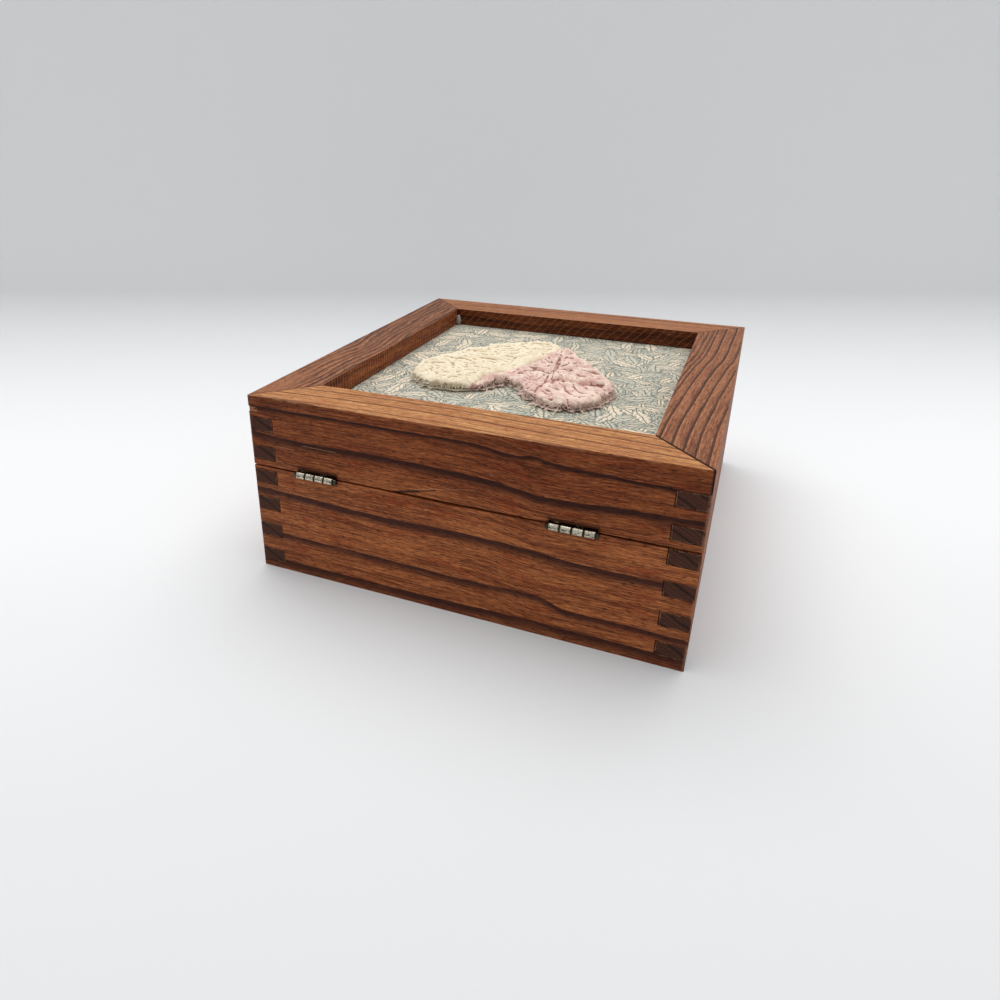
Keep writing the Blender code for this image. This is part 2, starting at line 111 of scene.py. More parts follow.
# Small roundings that handling gives to sawn edges, and how close points are to count as one, in millimetres
WOOD_EDGE = 0.3
METAL_EDGE = 0.32
SCREW_EDGE = 0.08
WELD_DISTANCE = 0.01
SHARP_ANGLE = math.radians(40)

# Growth lines on the back, as (x, z) in millimetres, from the top down
TOP_LINE = ((-90, 71.2), (-78, 71.9), (-67, 72.9), (-51, 75.1), (-27, 75.7), (-16, 77.8), (5, 76.8), (90, 78))
UPPER_LINE = ((-90, 70.6), (-57, 71.8), (-35, 72.9), (-31, 73.8), (-24, 73.2), (-10, 75.1), (20, 75.4),
              (90, 75.6))
SECOND_LINE = ((-90, 61), (-62, 60.3), (-39, 59.1), (-26, 60.1), (-12, 62), (27, 63.2), (68, 62.9), (90, 65))
MIDDLE_LINE = ((-90, 35), (-70, 34.7), (-45, 35.1), (-32, 36.3), (5, 37.2), (21, 36.6), (65, 37.9),
               (90, 38.8))
LOWER_LINE = ((-90, 12.9), (-60, 13.8), (-48, 13.5), (-40, 15.5), (-29, 17.2), (-12, 16.7), (40, 17.5),
              (90, 17.8))
BOTTOM_LINE = ((-90, 4.5), (-40, 5.2), (20, 4.4), (90, 4.9))

# The same lines, each with its width above, its width below and its strength
BACK_LINES = (
    (TOP_LINE, 0.22, 0.5, 0.55),
    (UPPER_LINE, 0.4, 2.6, 1.0),
    (SECOND_LINE, 0.5, 5.0, 1.0),
    (MIDDLE_LINE, 0.6, 5.4, 1.0),
    (LOWER_LINE, 0.6, 5.0, 0.85),
    (BOTTOM_LINE, 0.7, 7.0, 0.90),
)

# How the finer rings of the back sink along it, as (x, drop), and how far apart they are
GRAIN_DROP = ((-90, -3.0), (-55, -3.4), (-38, -3.7), (-24, -2.6), (-8, -0.7), (25, 0), (90, 0.6))
BACK_RING_SPACING = 4.3

# Scratches on the back of the lid and the dark wedge of its crack: from, to, as (x, z), and width
PALE_MARKS = (((15.0, 52.3), (8.7, 53.6), 0.28), ((8.7, 53.6), (-8.0, 56.6), 0.22),
              ((77.5, 59.3), (70.0, 59.1), 0.25), ((65.0, 61.6), (50.0, 61.4), 0.22))
DARK_MARKS = (((24.0, 49.4), (14.0, 51.6), 0.7), ((14.0, 51.6), (7.0, 53.3), 0.35))


class Value:
    """A number that flows between a material's nodes, so that sums read as sums."""

    def __init__(self, graph, socket):
        self.graph = graph
        self.socket = socket

    def __add__(self, other):
        return self.graph.math("ADD", self, other)

    def __radd__(self, other):
        return self.graph.math("ADD", other, self)

    def __sub__(self, other):
        return self.graph.math("SUBTRACT", self, other)

    def __rsub__(self, other):
        return self.graph.math("SUBTRACT", other, self)

    def __mul__(self, other):
        return self.graph.math("MULTIPLY", self, other)

    def __rmul__(self, other):
        return self.graph.math("MULTIPLY", other, self)

    def __truediv__(self, other):
        return self.graph.math("DIVIDE", self, other)

    def __rtruediv__(self, other):
        return self.graph.math("DIVIDE", other, self)

    def __abs__(self):
        return self.graph.math("ABSOLUTE", self)


class Graph:
    """The nodes of one material. Places are in millimetres in the part's own frame."""

    def __init__(self, name):
        self.material = bpy.data.materials.new(name)
        self.material.use_nodes = True
        self.nodes = self.material.node_tree.nodes
        self.links = self.material.node_tree.links
        self.shader = self.nodes["Principled BSDF"]
        place = self.nodes.new("ShaderNodeTexCoord")
        self.x, self.y, self.z = (part * 1000 for part in self.split(place.outputs["Object"]))
        self.nx, self.ny, self.nz = self.split(place.outputs["Normal"])

    def split(self, socket):
        node = self.nodes.new("ShaderNodeSeparateXYZ")
        self.links.new(socket, node.inputs[0])
        return [Value(self, output) for output in node.outputs]

    def put(self, value, socket):
        if isinstance(value, Value):
            self.links.new(value.socket, socket)
        else:
            socket.default_value = value

    def math(self, operation, *values, clamp=False):
        node = self.nodes.new("ShaderNodeMath")
        node.operation = operation
        node.use_clamp = clamp
        for value, socket in zip(values, node.inputs):
            self.put(value, socket)
        return Value(self, node.outputs[0])

    def most(self, *values):
        result = values[0]
        for value in values[1:]:
            result = self.math("MAXIMUM", result, value)
        return result

    def smooth(self, value, start, end):
        """From 0 at start to 1 at end. Start may be the larger."""
        node = self.nodes.new("ShaderNodeMapRange")
        node.interpolation_type = "SMOOTHSTEP"
        self.put(value, node.inputs["Value"])
        self.put(start, node.inputs["From Min"])
        self.put(end, node.inputs["From Max"])
        return Value(self, node.outputs["Result"])

    def blend(self, share, first, second):
        return first + (second - first) * share

    def vector(self, *parts):
        node = self.nodes.new("ShaderNodeCombineXYZ")
        for part, socket in zip(parts, node.inputs):
            self.put(part, socket)
        return Value(self, node.outputs[0])

    def noise(self, *parts, detail=2.0, roughness=0.5, distortion=0.0):
        """Smooth noise round 0.5, with features one unit across."""
        node = self.nodes.new("ShaderNodeTexNoise")
        self.put(self.vector(*parts), node.inputs["Vector"])
        node.inputs["Scale"].default_value = 1.0
        node.inputs["Detail"].default_value = detail
        node.inputs["Roughness"].default_value = roughness
        node.inputs["Distortion"].default_value = distortion
        return Value(self, node.outputs["Fac"])

    def curve(self, value, points):
        """The height of a smooth line through (place, height) points in millimetres."""
        low = min(height for _, height in points) - 1
        high = max(height for _, height in points) + 1
        first, last = points[0][0], points[-1][0]
        shares = [((place - first) / (last - first), (height - low) / (high - low))
                  for place, height in points]
        node = self.nodes.new("ShaderNodeFloatCurve")
        line = node.mapping.curves[0]
        line.points[0].location = shares[0]
        line.points[1].location = shares[-1]
        for share in shares[1:-1]:
            line.points.new(*share)
        node.mapping.update()
        self.put((value - first) / (last - first), node.inputs["Value"])
        return Value(self, node.outputs[0]) * (high - low) + low

    def ridge(self, distance, above, below):
        """1 on a line, fading over one width above it and another below it."""
        return self.smooth(distance, above, 0.0) * self.smooth(distance, -below, 0.0)

    def stroke(self, u, v, start, end, width):
        """1 on a straight stroke from one point to another, fading at its width."""
        along_u, along_v = end[0] - start[0], end[1] - start[1]
        length = math.hypot(along_u, along_v)
        reach_u, reach_v = u - start[0], v - start[1]
        share = self.math("ADD", (reach_u * along_u + reach_v * along_v) / length ** 2, 0.0, clamp=True)
        off_u, off_v = reach_u - share * along_u, reach_v - share * along_v
        distance = self.math("SQRT", off_u * off_u + off_v * off_v)
        return self.smooth(distance, width, width * 0.3)

    def mix(self, share, first, second, kind="MIX"):
        node = self.nodes.new("ShaderNodeMix")
        node.data_type = "RGBA"
        node.blend_type = kind
        for value, index in ((share, 0), (first, 6), (second, 7)):
            value = (*value, 1.0) if isinstance(value, tuple) else value
            self.put(value, node.inputs[index])
        return Value(self, node.outputs[2])

    def finish(self, colour, roughness, height, depth, specular=0.5):
        """Joins colour, roughness and a bump, whose height of 1 is so many millimetres, to the shader."""
        bump = self.nodes.new("ShaderNodeBump")
        bump.inputs["Strength"].default_value = 1.0
        bump.inputs["Distance"].default_value = depth * MM
        self.put(height, bump.inputs["Height"])
        self.links.new(bump.outputs["Normal"], self.shader.inputs["Normal"])
        self.put(colour, self.shader.inputs["Base Color"])
        self.put(roughness, self.shader.inputs["Roughness"])
        self.shader.inputs["Specular IOR Level"].default_value = specular
        return self.material


# A wood's colours: between its rings light and mid, in patches red, and late in the dark part of a ring
Tone = namedtuple("Tone", "light mid red late")
STAINED = Tone((0.60, 0.205, 0.068), (0.20, 0.046, 0.013), (0.38, 0.074, 0.020), (0.078, 0.022, 0.012))
RAIL_TAN = Tone((0.70, 0.345, 0.132), (0.41, 0.155, 0.048), (0.48, 0.160, 0.060), (0.13, 0.038, 0.013))
RAIL_DULL = Tone((0.47, 0.205, 0.085), (0.33, 0.125, 0.048), (0.36, 0.120, 0.050), (0.13, 0.038, 0.013))
RAIL_BROWN = Tone((0.43, 0.180, 0.080), (0.18, 0.057, 0.023), (0.24, 0.070, 0.032), (0.035, 0.010, 0.006))
PLAIN = Tone((0.50, 0.300, 0.150), (0.42, 0.235, 0.110), (0.44, 0.215, 0.100), (0.27, 0.120, 0.050))
PALE_KEY = Tone((0.45, 0.200, 0.090), (0.36, 0.145, 0.060), (0.37, 0.130, 0.060), (0.16, 0.060, 0.028))

# Other colours on wood
END_GRAIN = (0.100, 0.036, 0.021)
PLAIN_END_GRAIN = (0.30, 0.16, 0.08)
END_LINE = (0.012, 0.006, 0.005)
WORN_EDGE = (0.42, 0.200, 0.105)
# Painted highlight that glints on fibres
PAINTED_FIBRE_GLINT = (0.58, 0.310, 0.180)
GLUE_LINE = (0.24, 0.115, 0.062)

# What the wood's colour is multiplied by: near the top of the back, in fibres, in vessels, and, as painted
# shade, on the inner faces of the rails that run along each axis
DARKER_TOP = (0.62, 0.50, 0.42)
FIBRE_SHADE = (0.42, 0.30, 0.24)
VESSEL_SHADE = (0.26, 0.16, 0.12)
PAINTED_RECESS_SHADES = {"x": (0.31, 0.25, 0.23), "y": (0.68, 0.61, 0.58)}


def grain_colour(g, tone, along, level, late, seed):
    """Streaked wood colour along the grain, darker where late is near 1."""
    broad = g.noise(along / 55, level / 5.5, seed, detail=3.0, roughness=0.6)
    streak = g.noise(along / 18, level / 0.7, seed + 4.0, detail=3.0, roughness=0.7)
    patch = g.noise(along / 16, level / 6.0, seed + 9.0, detail=2.0)
    colour = g.mix(g.smooth(broad * 0.35 + streak * 0.65, 0.36, 0.62), tone.mid, tone.light)
    colour = g.mix(g.smooth(patch, 0.52, 0.70) * 0.5, colour, tone.red)
    return g.mix(late, colour, tone.late)


def fibre_marks(g, along, level, seed):
    """Fine fibres, and the short dark dashes of the wood's vessels."""
    fibre = g.noise(along / 5, level / 0.36, seed + 17.0, detail=3.0, roughness=0.7)
    dashes = g.noise(along / 2.8, level / 0.34, seed + 23.0, detail=1.0)
    return fibre, g.smooth(dashes, 0.58, 0.68)


def rings(g, along, level, spacing, seed):
    """Growth rings that darken slowly upwards and end sharply."""
    wander = g.noise(along / 70, level / 14, seed + 31.0, detail=2.0) * 1.5
    phase = g.math("FRACT", level / spacing + wander)
    band = g.smooth(phase, 0.45, 0.95) * g.smooth(phase, 1.0, 0.965)
    strength = g.smooth(g.noise(along / 60, level / spacing * 0.7, seed + 37.0), 0.35, 0.65)
    return band * (0.25 + 0.6 * strength)


def back_lines(g, level):
    """The chosen growth lines of the back, which run across the lid and the box alike."""
    ragged = (g.noise(g.x / 9, level / 3, 51.0, detail=3.0) - 0.5) * 1.1
    parts = [g.ridge(level - g.curve(g.x, points) + ragged * min(below, 1.0), above, below) * strength
             for points, above, below, strength in BACK_LINES]
    fade = g.noise(g.x / 22, level / 4, 57.0, detail=2.0)
    return g.math("MULTIPLY", g.most(*parts), 0.75 + 0.85 * fade, clamp=True)


def back_face(g):
    """1 on the back's own face, 0 inside the board."""
    return g.smooth(g.y, BACK_FACE - 0.6, BACK_FACE - 0.2)


def painted_hinge_shade(g):
    """Painted shade on the boards close round each hinge."""
    shades = []
    for side in ("left", "right"):
        low, high = (corner * 1000 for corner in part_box(f"lid_leaf_{side}"))
        reach_x = abs(g.x - (low.x + high.x) / 2) - (high.x - low.x) / 2
        reach_z = abs(g.z - PARTING) - HINGE_HALF_HEIGHT
        shades.append(g.smooth(g.most(reach_x, reach_z), 1.3, 0.1))
    return g.most(*shades) * back_face(g)


def lid_marks(g, colour):
    """Marks that only the back of the lid has: a crack with a dark wedge, and two pale scratches."""
    for marks, strength, tint in ((PALE_MARKS, 0.55, WORN_EDGE), (DARK_MARKS, 0.9, END_LINE)):
        drawn = g.most(*(g.stroke(g.x, g.z, *mark) for mark in marks))
        colour = g.mix(drawn * back_face(g) * strength, colour, tint)
    return colour


def finger_edges(g, rim_strip):
    """How near the fingers' ends on the front and back are to the edge of their finger, in millimetres."""
    in_lid = g.math("GREATER_THAN", g.z, PARTING)
    down = g.blend(in_lid, BOX_RIM - rim_strip, LID_FINGER_TOP) - g.z
    place = g.math("FRACT", down / FINGER_PITCH) * FINGER_PITCH
    from_ends = g.math("MINIMUM", place, FINGER_PITCH / 2 - place)
    return g.math("MINIMUM", abs(from_ends), abs(abs(g.x) - (SIDE_FACE - WALL_THICKNESS)))


def recess_marks(g, axis, along):
    """Where a rail's inner face is, and the saw marks on it."""
    normal, place = {"x": (g.ny, g.y), "y": (g.nx, g.x)}[axis]
    inward = g.smooth(normal * g.math("SIGN", place), -0.5, -0.8)
    wander = g.noise(along / 12, g.z / 6, 83.0) * 0.8
    if axis == "x":
        marks = g.ridge(g.math("FRACT", (along + g.z) / 4.6 + wander) - 0.5, 0.10, 0.10) * 0.5
    else:
        marks = g.ridge(g.math("FRACT", along / 2.3 + wander * 0.4) - 0.5, 0.24, 0.24) * 0.6
    return inward, marks


def dress_rail(g, axis, along, tone, top, colour, marks, seed):
    """A rail's inner face, darkened with painted shade, with its saw marks, and its upper face with growth
    lines of its own.
    """
    fibre, dashes, late = marks
    inward, saw_marks = recess_marks(g, axis, along)
    # Painted shade on the rail's inner face, deepest on the rails that run along x
    colour = g.mix(inward * 0.9, colour, PAINTED_RECESS_SHADES[axis], "MULTIPLY")
    colour = g.mix(inward * saw_marks, colour, tone.light)
    top_tone, top_lines = top
    top_seed = seed + 61.0
    top_level, top_late, top_pale = top_lines(g)
    top_colour = grain_colour(g, top_tone, along, top_level, top_late, top_seed)
    top_colour = g.mix(top_pale, top_colour, top_tone.light)
    top_fibre, top_dashes = fibre_marks(g, along, top_level, top_seed)
    on_top = g.smooth(g.nz, 0.45, 0.75)
    colour = g.mix(on_top, colour, top_colour)
    fibre = g.blend(on_top, fibre, top_fibre)
    dashes = g.blend(on_top, dashes, top_dashes * 0.75)
    return colour, (fibre, dashes, g.blend(on_top, late, top_late))


def end_grain(g, across, depth, level, end_tone, rim_strip, seed):
    """Pores and rings on a board's end. Rim_strip is given where it is a box joint's, with glue round each
    finger, and says how far the first finger starts below the rim.
    """
    pores = g.noise(across / 0.45, depth / 0.45, seed + 71.0, detail=2.0)
    place = level / 6.3 + 0.5 * g.noise(across / 9, depth / 9, seed)
    line = g.ridge(g.math("FRACT", place) - 0.5, 0.06, 0.14)
    fine_lines = g.ridge(g.math("FRACT", place * 4.0) - 0.5, 0.2, 0.3)
    colour = g.mix(g.smooth(pores, 0.35, 0.65) * 0.55, end_tone, END_LINE)
    colour = g.mix(g.most(line, fine_lines * 0.4), colour, END_LINE)
    if rim_strip is not None:
        edge = finger_edges(g, rim_strip) + (g.noise(g.x / 1.2, g.z / 1.2, seed, detail=3.0) - 0.5) * 0.7
        glued = g.smooth(g.noise(g.x / 2.6, g.z / 2.6, seed + 3.0), 0.42, 0.60)
        colour = g.mix(g.smooth(edge, 0.60, 0.35) * glued * 0.75, colour, GLUE_LINE)
        colour = g.mix(g.smooth(edge, 0.24, 0.05) * 0.95, colour, END_LINE)
    return colour, pores


def rub_edges(g, colour):
    """Corners and arrises rubbed a little paler."""
    x, y = abs(g.x), abs(g.y)
    corner = g.smooth(x, SIDE_FACE - 1.3, SIDE_FACE) * g.smooth(y, BACK_FACE - 1.3, BACK_FACE)
    outer = g.most(g.smooth(x, SIDE_FACE - 0.8, SIDE_FACE), g.smooth(y, BACK_FACE - 0.8, BACK_FACE))
    arris = g.smooth(g.z, BOX_TOP - 0.9, BOX_TOP) * outer
    rubbed = g.noise(g.x / 5, g.y / 5, g.z / 5, detail=3.0)
    return g.mix(g.most(corner, arris) * g.smooth(rubbed, 0.42, 0.62) * 0.55, colour, WORN_EDGE)


def darken_mitres(g, colour):
    """Dark glue and dust along the mitres, most at the corner whose mitre stands open."""
    from_mitre = abs((abs(g.x) - SIDE_FACE) - (abs(g.y) - BACK_FACE)) * 0.7
    open_corner = g.smooth(g.x, 0.0, -40.0) * g.smooth(g.y, 0.0, 40.0)
    grime = g.smooth(from_mitre, 0.45 + 0.35 * open_corner, 0.15)
    return g.mix(grime * (0.6 + 0.35 * open_corner), colour, END_LINE)


def wood(name, axes, tone, slope=0.58, spacing=11.0, seed=0.0, end_tone=END_GRAIN, back=False, marked=False,
         top=None, roughness=0.46, rim_strip=None):
    """Wood whose grain runs along the first axis, with its rings stacked along the second.

    Back is for the boards of the back, and marked for the one in the lid. Top, where given, is a rail's
    upper face: its tone, and the function that gives its growth lines.
    """
    g = Graph(name)
    along, across, depth = (getattr(g, axis) for axis in axes)
    if back:
        # On the back face itself the level is the height, and inside the board the rings dip
        flat_level = g.z - slope * (g.y - BACK_FACE)
        level = flat_level - g.curve(g.x, GRAIN_DROP)
        late = g.most(back_lines(g, flat_level), rings(g, along, level, BACK_RING_SPACING, seed) * 0.45)
    else:
        level = across - slope * depth
        late = rings(g, along, level, spacing, seed)
    colour = grain_colour(g, tone, along, level, late, seed)
    if back:
        colour = g.mix(g.smooth(g.z, 44.0, 62.0) * 0.8, colour, DARKER_TOP, "MULTIPLY")
    marks = (*fibre_marks(g, along, level, seed), late)
    if top:
        colour, marks = dress_rail(g, axes[0], along, tone, top, colour, marks, seed)
    fibre, dashes, late = marks
    colour = g.mix(g.smooth(fibre, 0.38, 0.62) * 0.8, colour, FIBRE_SHADE, "MULTIPLY")
    colour = g.mix(dashes * 0.85, colour, VESSEL_SHADE, "MULTIPLY")
    # Painted highlights glinting on the fibres, kept out of the late wood
    glints = g.noise(along / 3.4, fibre * 3.0 + across / 0.5, depth / 0.5, detail=2.0)
    colour = g.mix(g.smooth(glints, 0.56, 0.72) * (1 - late) * 0.16, colour, PAINTED_FIBRE_GLINT)
    # The end shows where the face looks along the fibres
    on_end = g.smooth(abs(getattr(g, "n" + axes[0])), 0.6, 0.85)
    end_colour, pores = end_grain(g, across, depth, level, end_tone, rim_strip, seed)
    colour = g.mix(on_end, colour, end_colour)
    if back:
        # Painted shade round the hinges
        colour = g.mix(painted_hinge_shade(g) * 0.75, colour, END_LINE)
    if marked:
        colour = lid_marks(g, colour)
    colour = rub_edges(g, colour)
    if top:
        colour = darken_mitres(g, colour)
    height = fibre * 0.5 - dashes * 0.5 - late * 0.35 + pores * on_end * 0.6
    shine = roughness + 0.16 * fibre - 0.05 * late + on_end * 0.2
    g.shader.inputs["Coat Weight"].default_value = 0.06
    g.shader.inputs["Coat Roughness"].default_value = 0.3
    return g.finish(colour, shine, height, 0.16, specular=0.09)


def rail_lines(g, level, lines, above, below):
    """Growth lines at chosen levels of a rail's top: dark ones, and the pale wood that follows each."""
    dark = g.most(*(g.ridge(level - place, above, below) * strength for place, strength in lines))
    pale = g.most(*(g.ridge(level - place - above * 1.4, above, above) * strength
                    for place, strength in lines))
    return dark, pale


def back_rail_lines(g):
    """Dark lines along the hinge rail, which bend towards the back at both ends."""
    bend = g.curve(g.x, ((-90, 5.4), (-73, 4.5), (-45, 2.9), (-20, 1.7), (3, 0.2), (31, 0.1), (55, 0.7),
                         (80, 2.6), (90, 3.2)))
    level = g.y - bend
    wander = (g.noise(g.x / 26, level / 5, 3.0, detail=3.0) - 0.5) * 0.9
    lines = ((74.0, 0.85), (79.9, 0.9), (82.4, 0.3), (86.6, 0.95), (90.2, 0.3), (94.2, 0.75), (77.0, 0.25))
    dark, pale = rail_lines(g, level + wander, lines, 0.55, 1.3)
    # Dark streaks along the outer edge of the right end
    worn = g.smooth(g.noise(g.x / 9, g.y / 1.2, 13.0, detail=2.0), 0.42, 0.62)
    streaks = g.smooth(g.y, 94.6, 96.6) * g.smooth(g.x, 25.0, 70.0) * worn
    return level, g.most(dark, streaks * 0.9), pale * 0.35


def front_rail_lines(g):
    """One soft line that slants across the front rail."""
    place = g.curve(g.x, ((-90, -92.6), (-52, -92.4), (-16, -92.4), (-2, -91.5), (31, -88), (53, -86.1),
                          (73, -84.9), (90, -84)))
    level = g.y - place
    wander = (g.noise(g.x / 20, level / 5, 5.0, detail=2.0) - 0.5) * 1.2
    dark, pale = rail_lines(g, level + wander, ((0.0, 1.0), (7.0, 0.45), (-5.0, 0.35)), 1.2, 1.6)
    return level, dark, pale * 0.3


def left_rail_lines(g):
    """Raised lines that fan out towards the front."""
    fan = g.curve(g.y, ((-97, 12.6), (-60, 11.2), (-36, 10.1), (-10, 6.8), (20, 3.8), (45, 1.8), (67, 0.4),
                        (97, 0)))
    level = 0.0 - g.x - fan
    wander = (g.noise(g.y / 22, level / 6, 7.0, detail=2.0) - 0.5) * 0.8
    lines = ((58.9, 0.6), (61.4, 0.75), (63.7, 0.7), (65.5, 0.8), (69.4, 0.95), (74.2, 1.0), (78.7, 0.95),
             (82.7, 0.9), (87.2, 0.9))
    dark, pale = rail_lines(g, level + wander, lines, 0.5, 1.3)
    return level, dark * 0.95, pale


def right_rail_lines(g):
    """Close wavy lines that bunch into a swirl near the middle."""
    swirl_x, swirl_y = g.x - 80, g.y - 16
    near = 1 / (1 + 0.004 * (swirl_x * swirl_x * 2 + swirl_y * swirl_y))
    level = g.x + near * 5.0 + (g.noise(g.y / 30, g.x / 9, 9.0, detail=3.0) - 0.5) * 6.0
    phase = g.math("FRACT", level / 3.2)
    strength = g.smooth(g.noise(g.y / 24, level / 5, 11.0, detail=2.0), 0.36, 0.60) * 0.5 + 0.5
    pale = g.smooth(phase, 0.0, 0.12) * g.smooth(phase, 0.4, 0.15)
    # The far half is darker, with broad bands, and the corner by the hinges is plain and pale
    broad = g.smooth(g.noise(g.y / 40, level / 3.2, 19.0, detail=2.0), 0.42, 0.58)
    broad = broad * g.smooth(g.y, 60.0, -10.0)
    plain = g.smooth(g.y, 45.0, 85.0) * g.smooth(g.x, 76.0, 82.0)
    dark = g.smooth(phase, 0.35, 0.9) * g.smooth(phase, 1.0, 0.93) * strength
    return level, g.most(dark, broad * 0.55) * (1 - plain * 0.8), g.most(pale * strength, plain * 0.55)


def make_woods():
    """Each wooden node's own material. The boards of one wall, above and below the saw cut, are one board."""
    plain = {"slope": 0.25, "spacing": 9.0, "end_tone": PLAIN_END_GRAIN, "roughness": 0.6}
    back = {"axes": "xzy", "tone": STAINED, "back": True, "seed": 2.0}
    return {
        "wall_back": wood("back_board", **back),
        "lid_wall_back": wood("back_board_lid", marked=True, **back),
        "top_rail_back": wood("back_rail", top=(RAIL_TAN, back_rail_lines), **back),
        "wall_front": wood("front_board", "xzy", STAINED, -0.58, 12.0, seed=14.0),
        "wall_left": wood("left_board", "yzx", STAINED, 0.58, 13.0, seed=21.0, rim_strip=0.0),
        "wall_right": wood("right_board", "yzx", STAINED, 0.58, 10.0, seed=28.0, rim_strip=RIGHT_RIM_STRIP),
        "top_rail_front": wood("front_rail", "xzy", STAINED, -0.4, 9.0, seed=35.0,
                               top=(RAIL_DULL, front_rail_lines)),
        "top_rail_left": wood("left_rail", "yzx", STAINED, 0.4, 7.0, seed=42.0,
                              top=(RAIL_BROWN, left_rail_lines)),
        "top_rail_right": wood("right_rail", "yzx", STAINED, 0.4, 5.0, seed=49.0,
                               top=(RAIL_BROWN, right_rail_lines)),
        "mitre_key": wood("pale_key", "xyz", PALE_KEY, 0.2, 3.0, seed=56.0),
        "bottom_panel": wood("bottom_panel_wood", "xyz", PLAIN, seed=63.0, **plain),
        "panel_board": wood("board_wood", "yxz", PLAIN, seed=70.0, **plain),
    }


# Metal colours; the last is the painted shade and reflection on the hinge knuckles
NICKEL = (0.72, 0.66, 0.52)
STEEL = (0.50, 0.46, 0.40)
DULLED = (0.14, 0.09, 0.055)
KNUCKLE_PAINTED_SHADE = (0.018, 0.012, 0.008)


def knuckle_painted_shade(g):
    """Painted shade at the ends of each hinge knuckle and along its top and bottom, and a painted dark
    reflection in uneven lines along its barrel.
    """
    left, right = (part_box(f"lid_leaf_{side}") for side in ("left", "right"))
    pitch = (right[1].x - right[0].x) * 1000 / KNUCKLES
    start = g.blend(g.math("GREATER_THAN", g.x, 0.0), left[0].x * 1000, right[0].x * 1000)
    place = g.math("FRACT", (g.x - start) / pitch)
    from_gap = g.math("MINIMUM", place, 1 - place) * pitch
    outside = g.most(start - 0.2 - g.x, g.x - start - KNUCKLES * pitch - 0.2)
    uneven = g.noise(g.x / 1.4, g.y / 2, g.z / 2, detail=3.0)
    line = g.ridge(g.nz - 0.12 + (uneven - 0.5) * 1.6, 0.2, 0.26)
    rim = g.most(g.smooth(g.nz, 0.86, 0.98), g.smooth(g.nz, -0.62, -0.85))
    on_barrel = g.smooth(g.y, BACK_FACE - 0.9, BACK_FACE - 0.3)
    return g.most(g.smooth(from_gap, 0.7, 0.25), line, rim, g.smooth(outside, 0.0, 0.3)) * on_barrel


def metal(name, colour, roughness, grime, knuckles=False):
    """Plated metal, dull and brownish in patches."""
    g = Graph(name)
    dirt = g.noise(g.x / 1.3, g.y / 1.3, g.z / 1.3, detail=4.0, roughness=0.7)
    turned = g.noise(g.x / 0.16, g.y / 4, g.z / 4, detail=1.0)
    colour = g.mix(g.smooth(dirt, 0.44, 0.62) * grime, colour, DULLED)
    if knuckles:
        # Painted shade and a painted dark reflection on the knuckles
        colour = g.mix(knuckle_painted_shade(g) * 0.93, colour, KNUCKLE_PAINTED_SHADE)
    g.shader.inputs["Metallic"].default_value = 1.0
    return g.finish(colour, roughness + 0.3 * g.smooth(dirt, 0.45, 0.7), turned + dirt, 0.02)


# Leafy print
PRINT_GROUND = (0.250, 0.262, 0.215)
PRINT_LEAF = (0.760, 0.640, 0.480)
PRINT_PALE = (0.540, 0.500, 0.395)
PRINT_LINE = (0.036, 0.066, 0.066)
PRINT_FADED = (0.60, 0.56, 0.47)
PRINT_THREAD = 0.42

# Layers of leaves, from below: how far apart they are, a seed, and half a leaf's length and width
LEAF_LAYERS = ((6.5, 3.7, 4.4, 1.7), (8.5, 11.3, 6.2, 2.3), (12.0, 23.1, 8.5, 3.1))
LOBES = 7.5


def leaf_layer(g, x, y, cell, seed, half_length, half_width):
    """One layer of scattered curved leaves. Gives where leaves are, their drawn lines and their own shade."""
    cells = g.nodes.new("ShaderNodeTexVoronoi")
    cells.voronoi_dimensions = "2D"
    cells.inputs["Scale"].default_value = 1.0
    cells.inputs["Randomness"].default_value = 0.85
    g.put(g.vector(x / cell + seed, y / cell - seed), cells.inputs["Vector"])
    centre_x, centre_y, _ = g.split(cells.outputs["Position"])
    shade, turn, _ = g.split(cells.outputs["Color"])
    u0 = x - (centre_x - seed) * cell
    v0 = y - (centre_y + seed) * cell
    flow = g.noise(centre_x / 4.5, centre_y / 4.5, seed, detail=0.0) * 14 + turn * 1.6
    cosine, sine = g.math("COSINE", flow), g.math("SINE", flow)
    u = u0 * cosine + v0 * sine
    v = v0 * cosine - u0 * sine + u0 * u0 * 0.035
    share = g.math("ADD", 1 - (u / half_length) * (u / half_length), 0.0, clamp=True)
    lobes = abs(g.math("SINE", u * (LOBES / half_length)))
    reach = half_width * g.math("POWER", share, 0.65) * (0.72 + 0.34 * lobes)
    inside = g.smooth(reach - abs(v), 0.0, 0.22)
    outline = g.ridge(reach - abs(v), 0.6, 0.45)
    rib = g.smooth(abs(v), 0.42, 0.14) * inside
    vein_phase = abs(g.math("SINE", (u + abs(v) * 1.15) * (LOBES / half_length)))
    veins = g.smooth(vein_phase, 0.34, 0.10) * inside * 0.8
    return inside, g.most(outline, rib, veins), shade


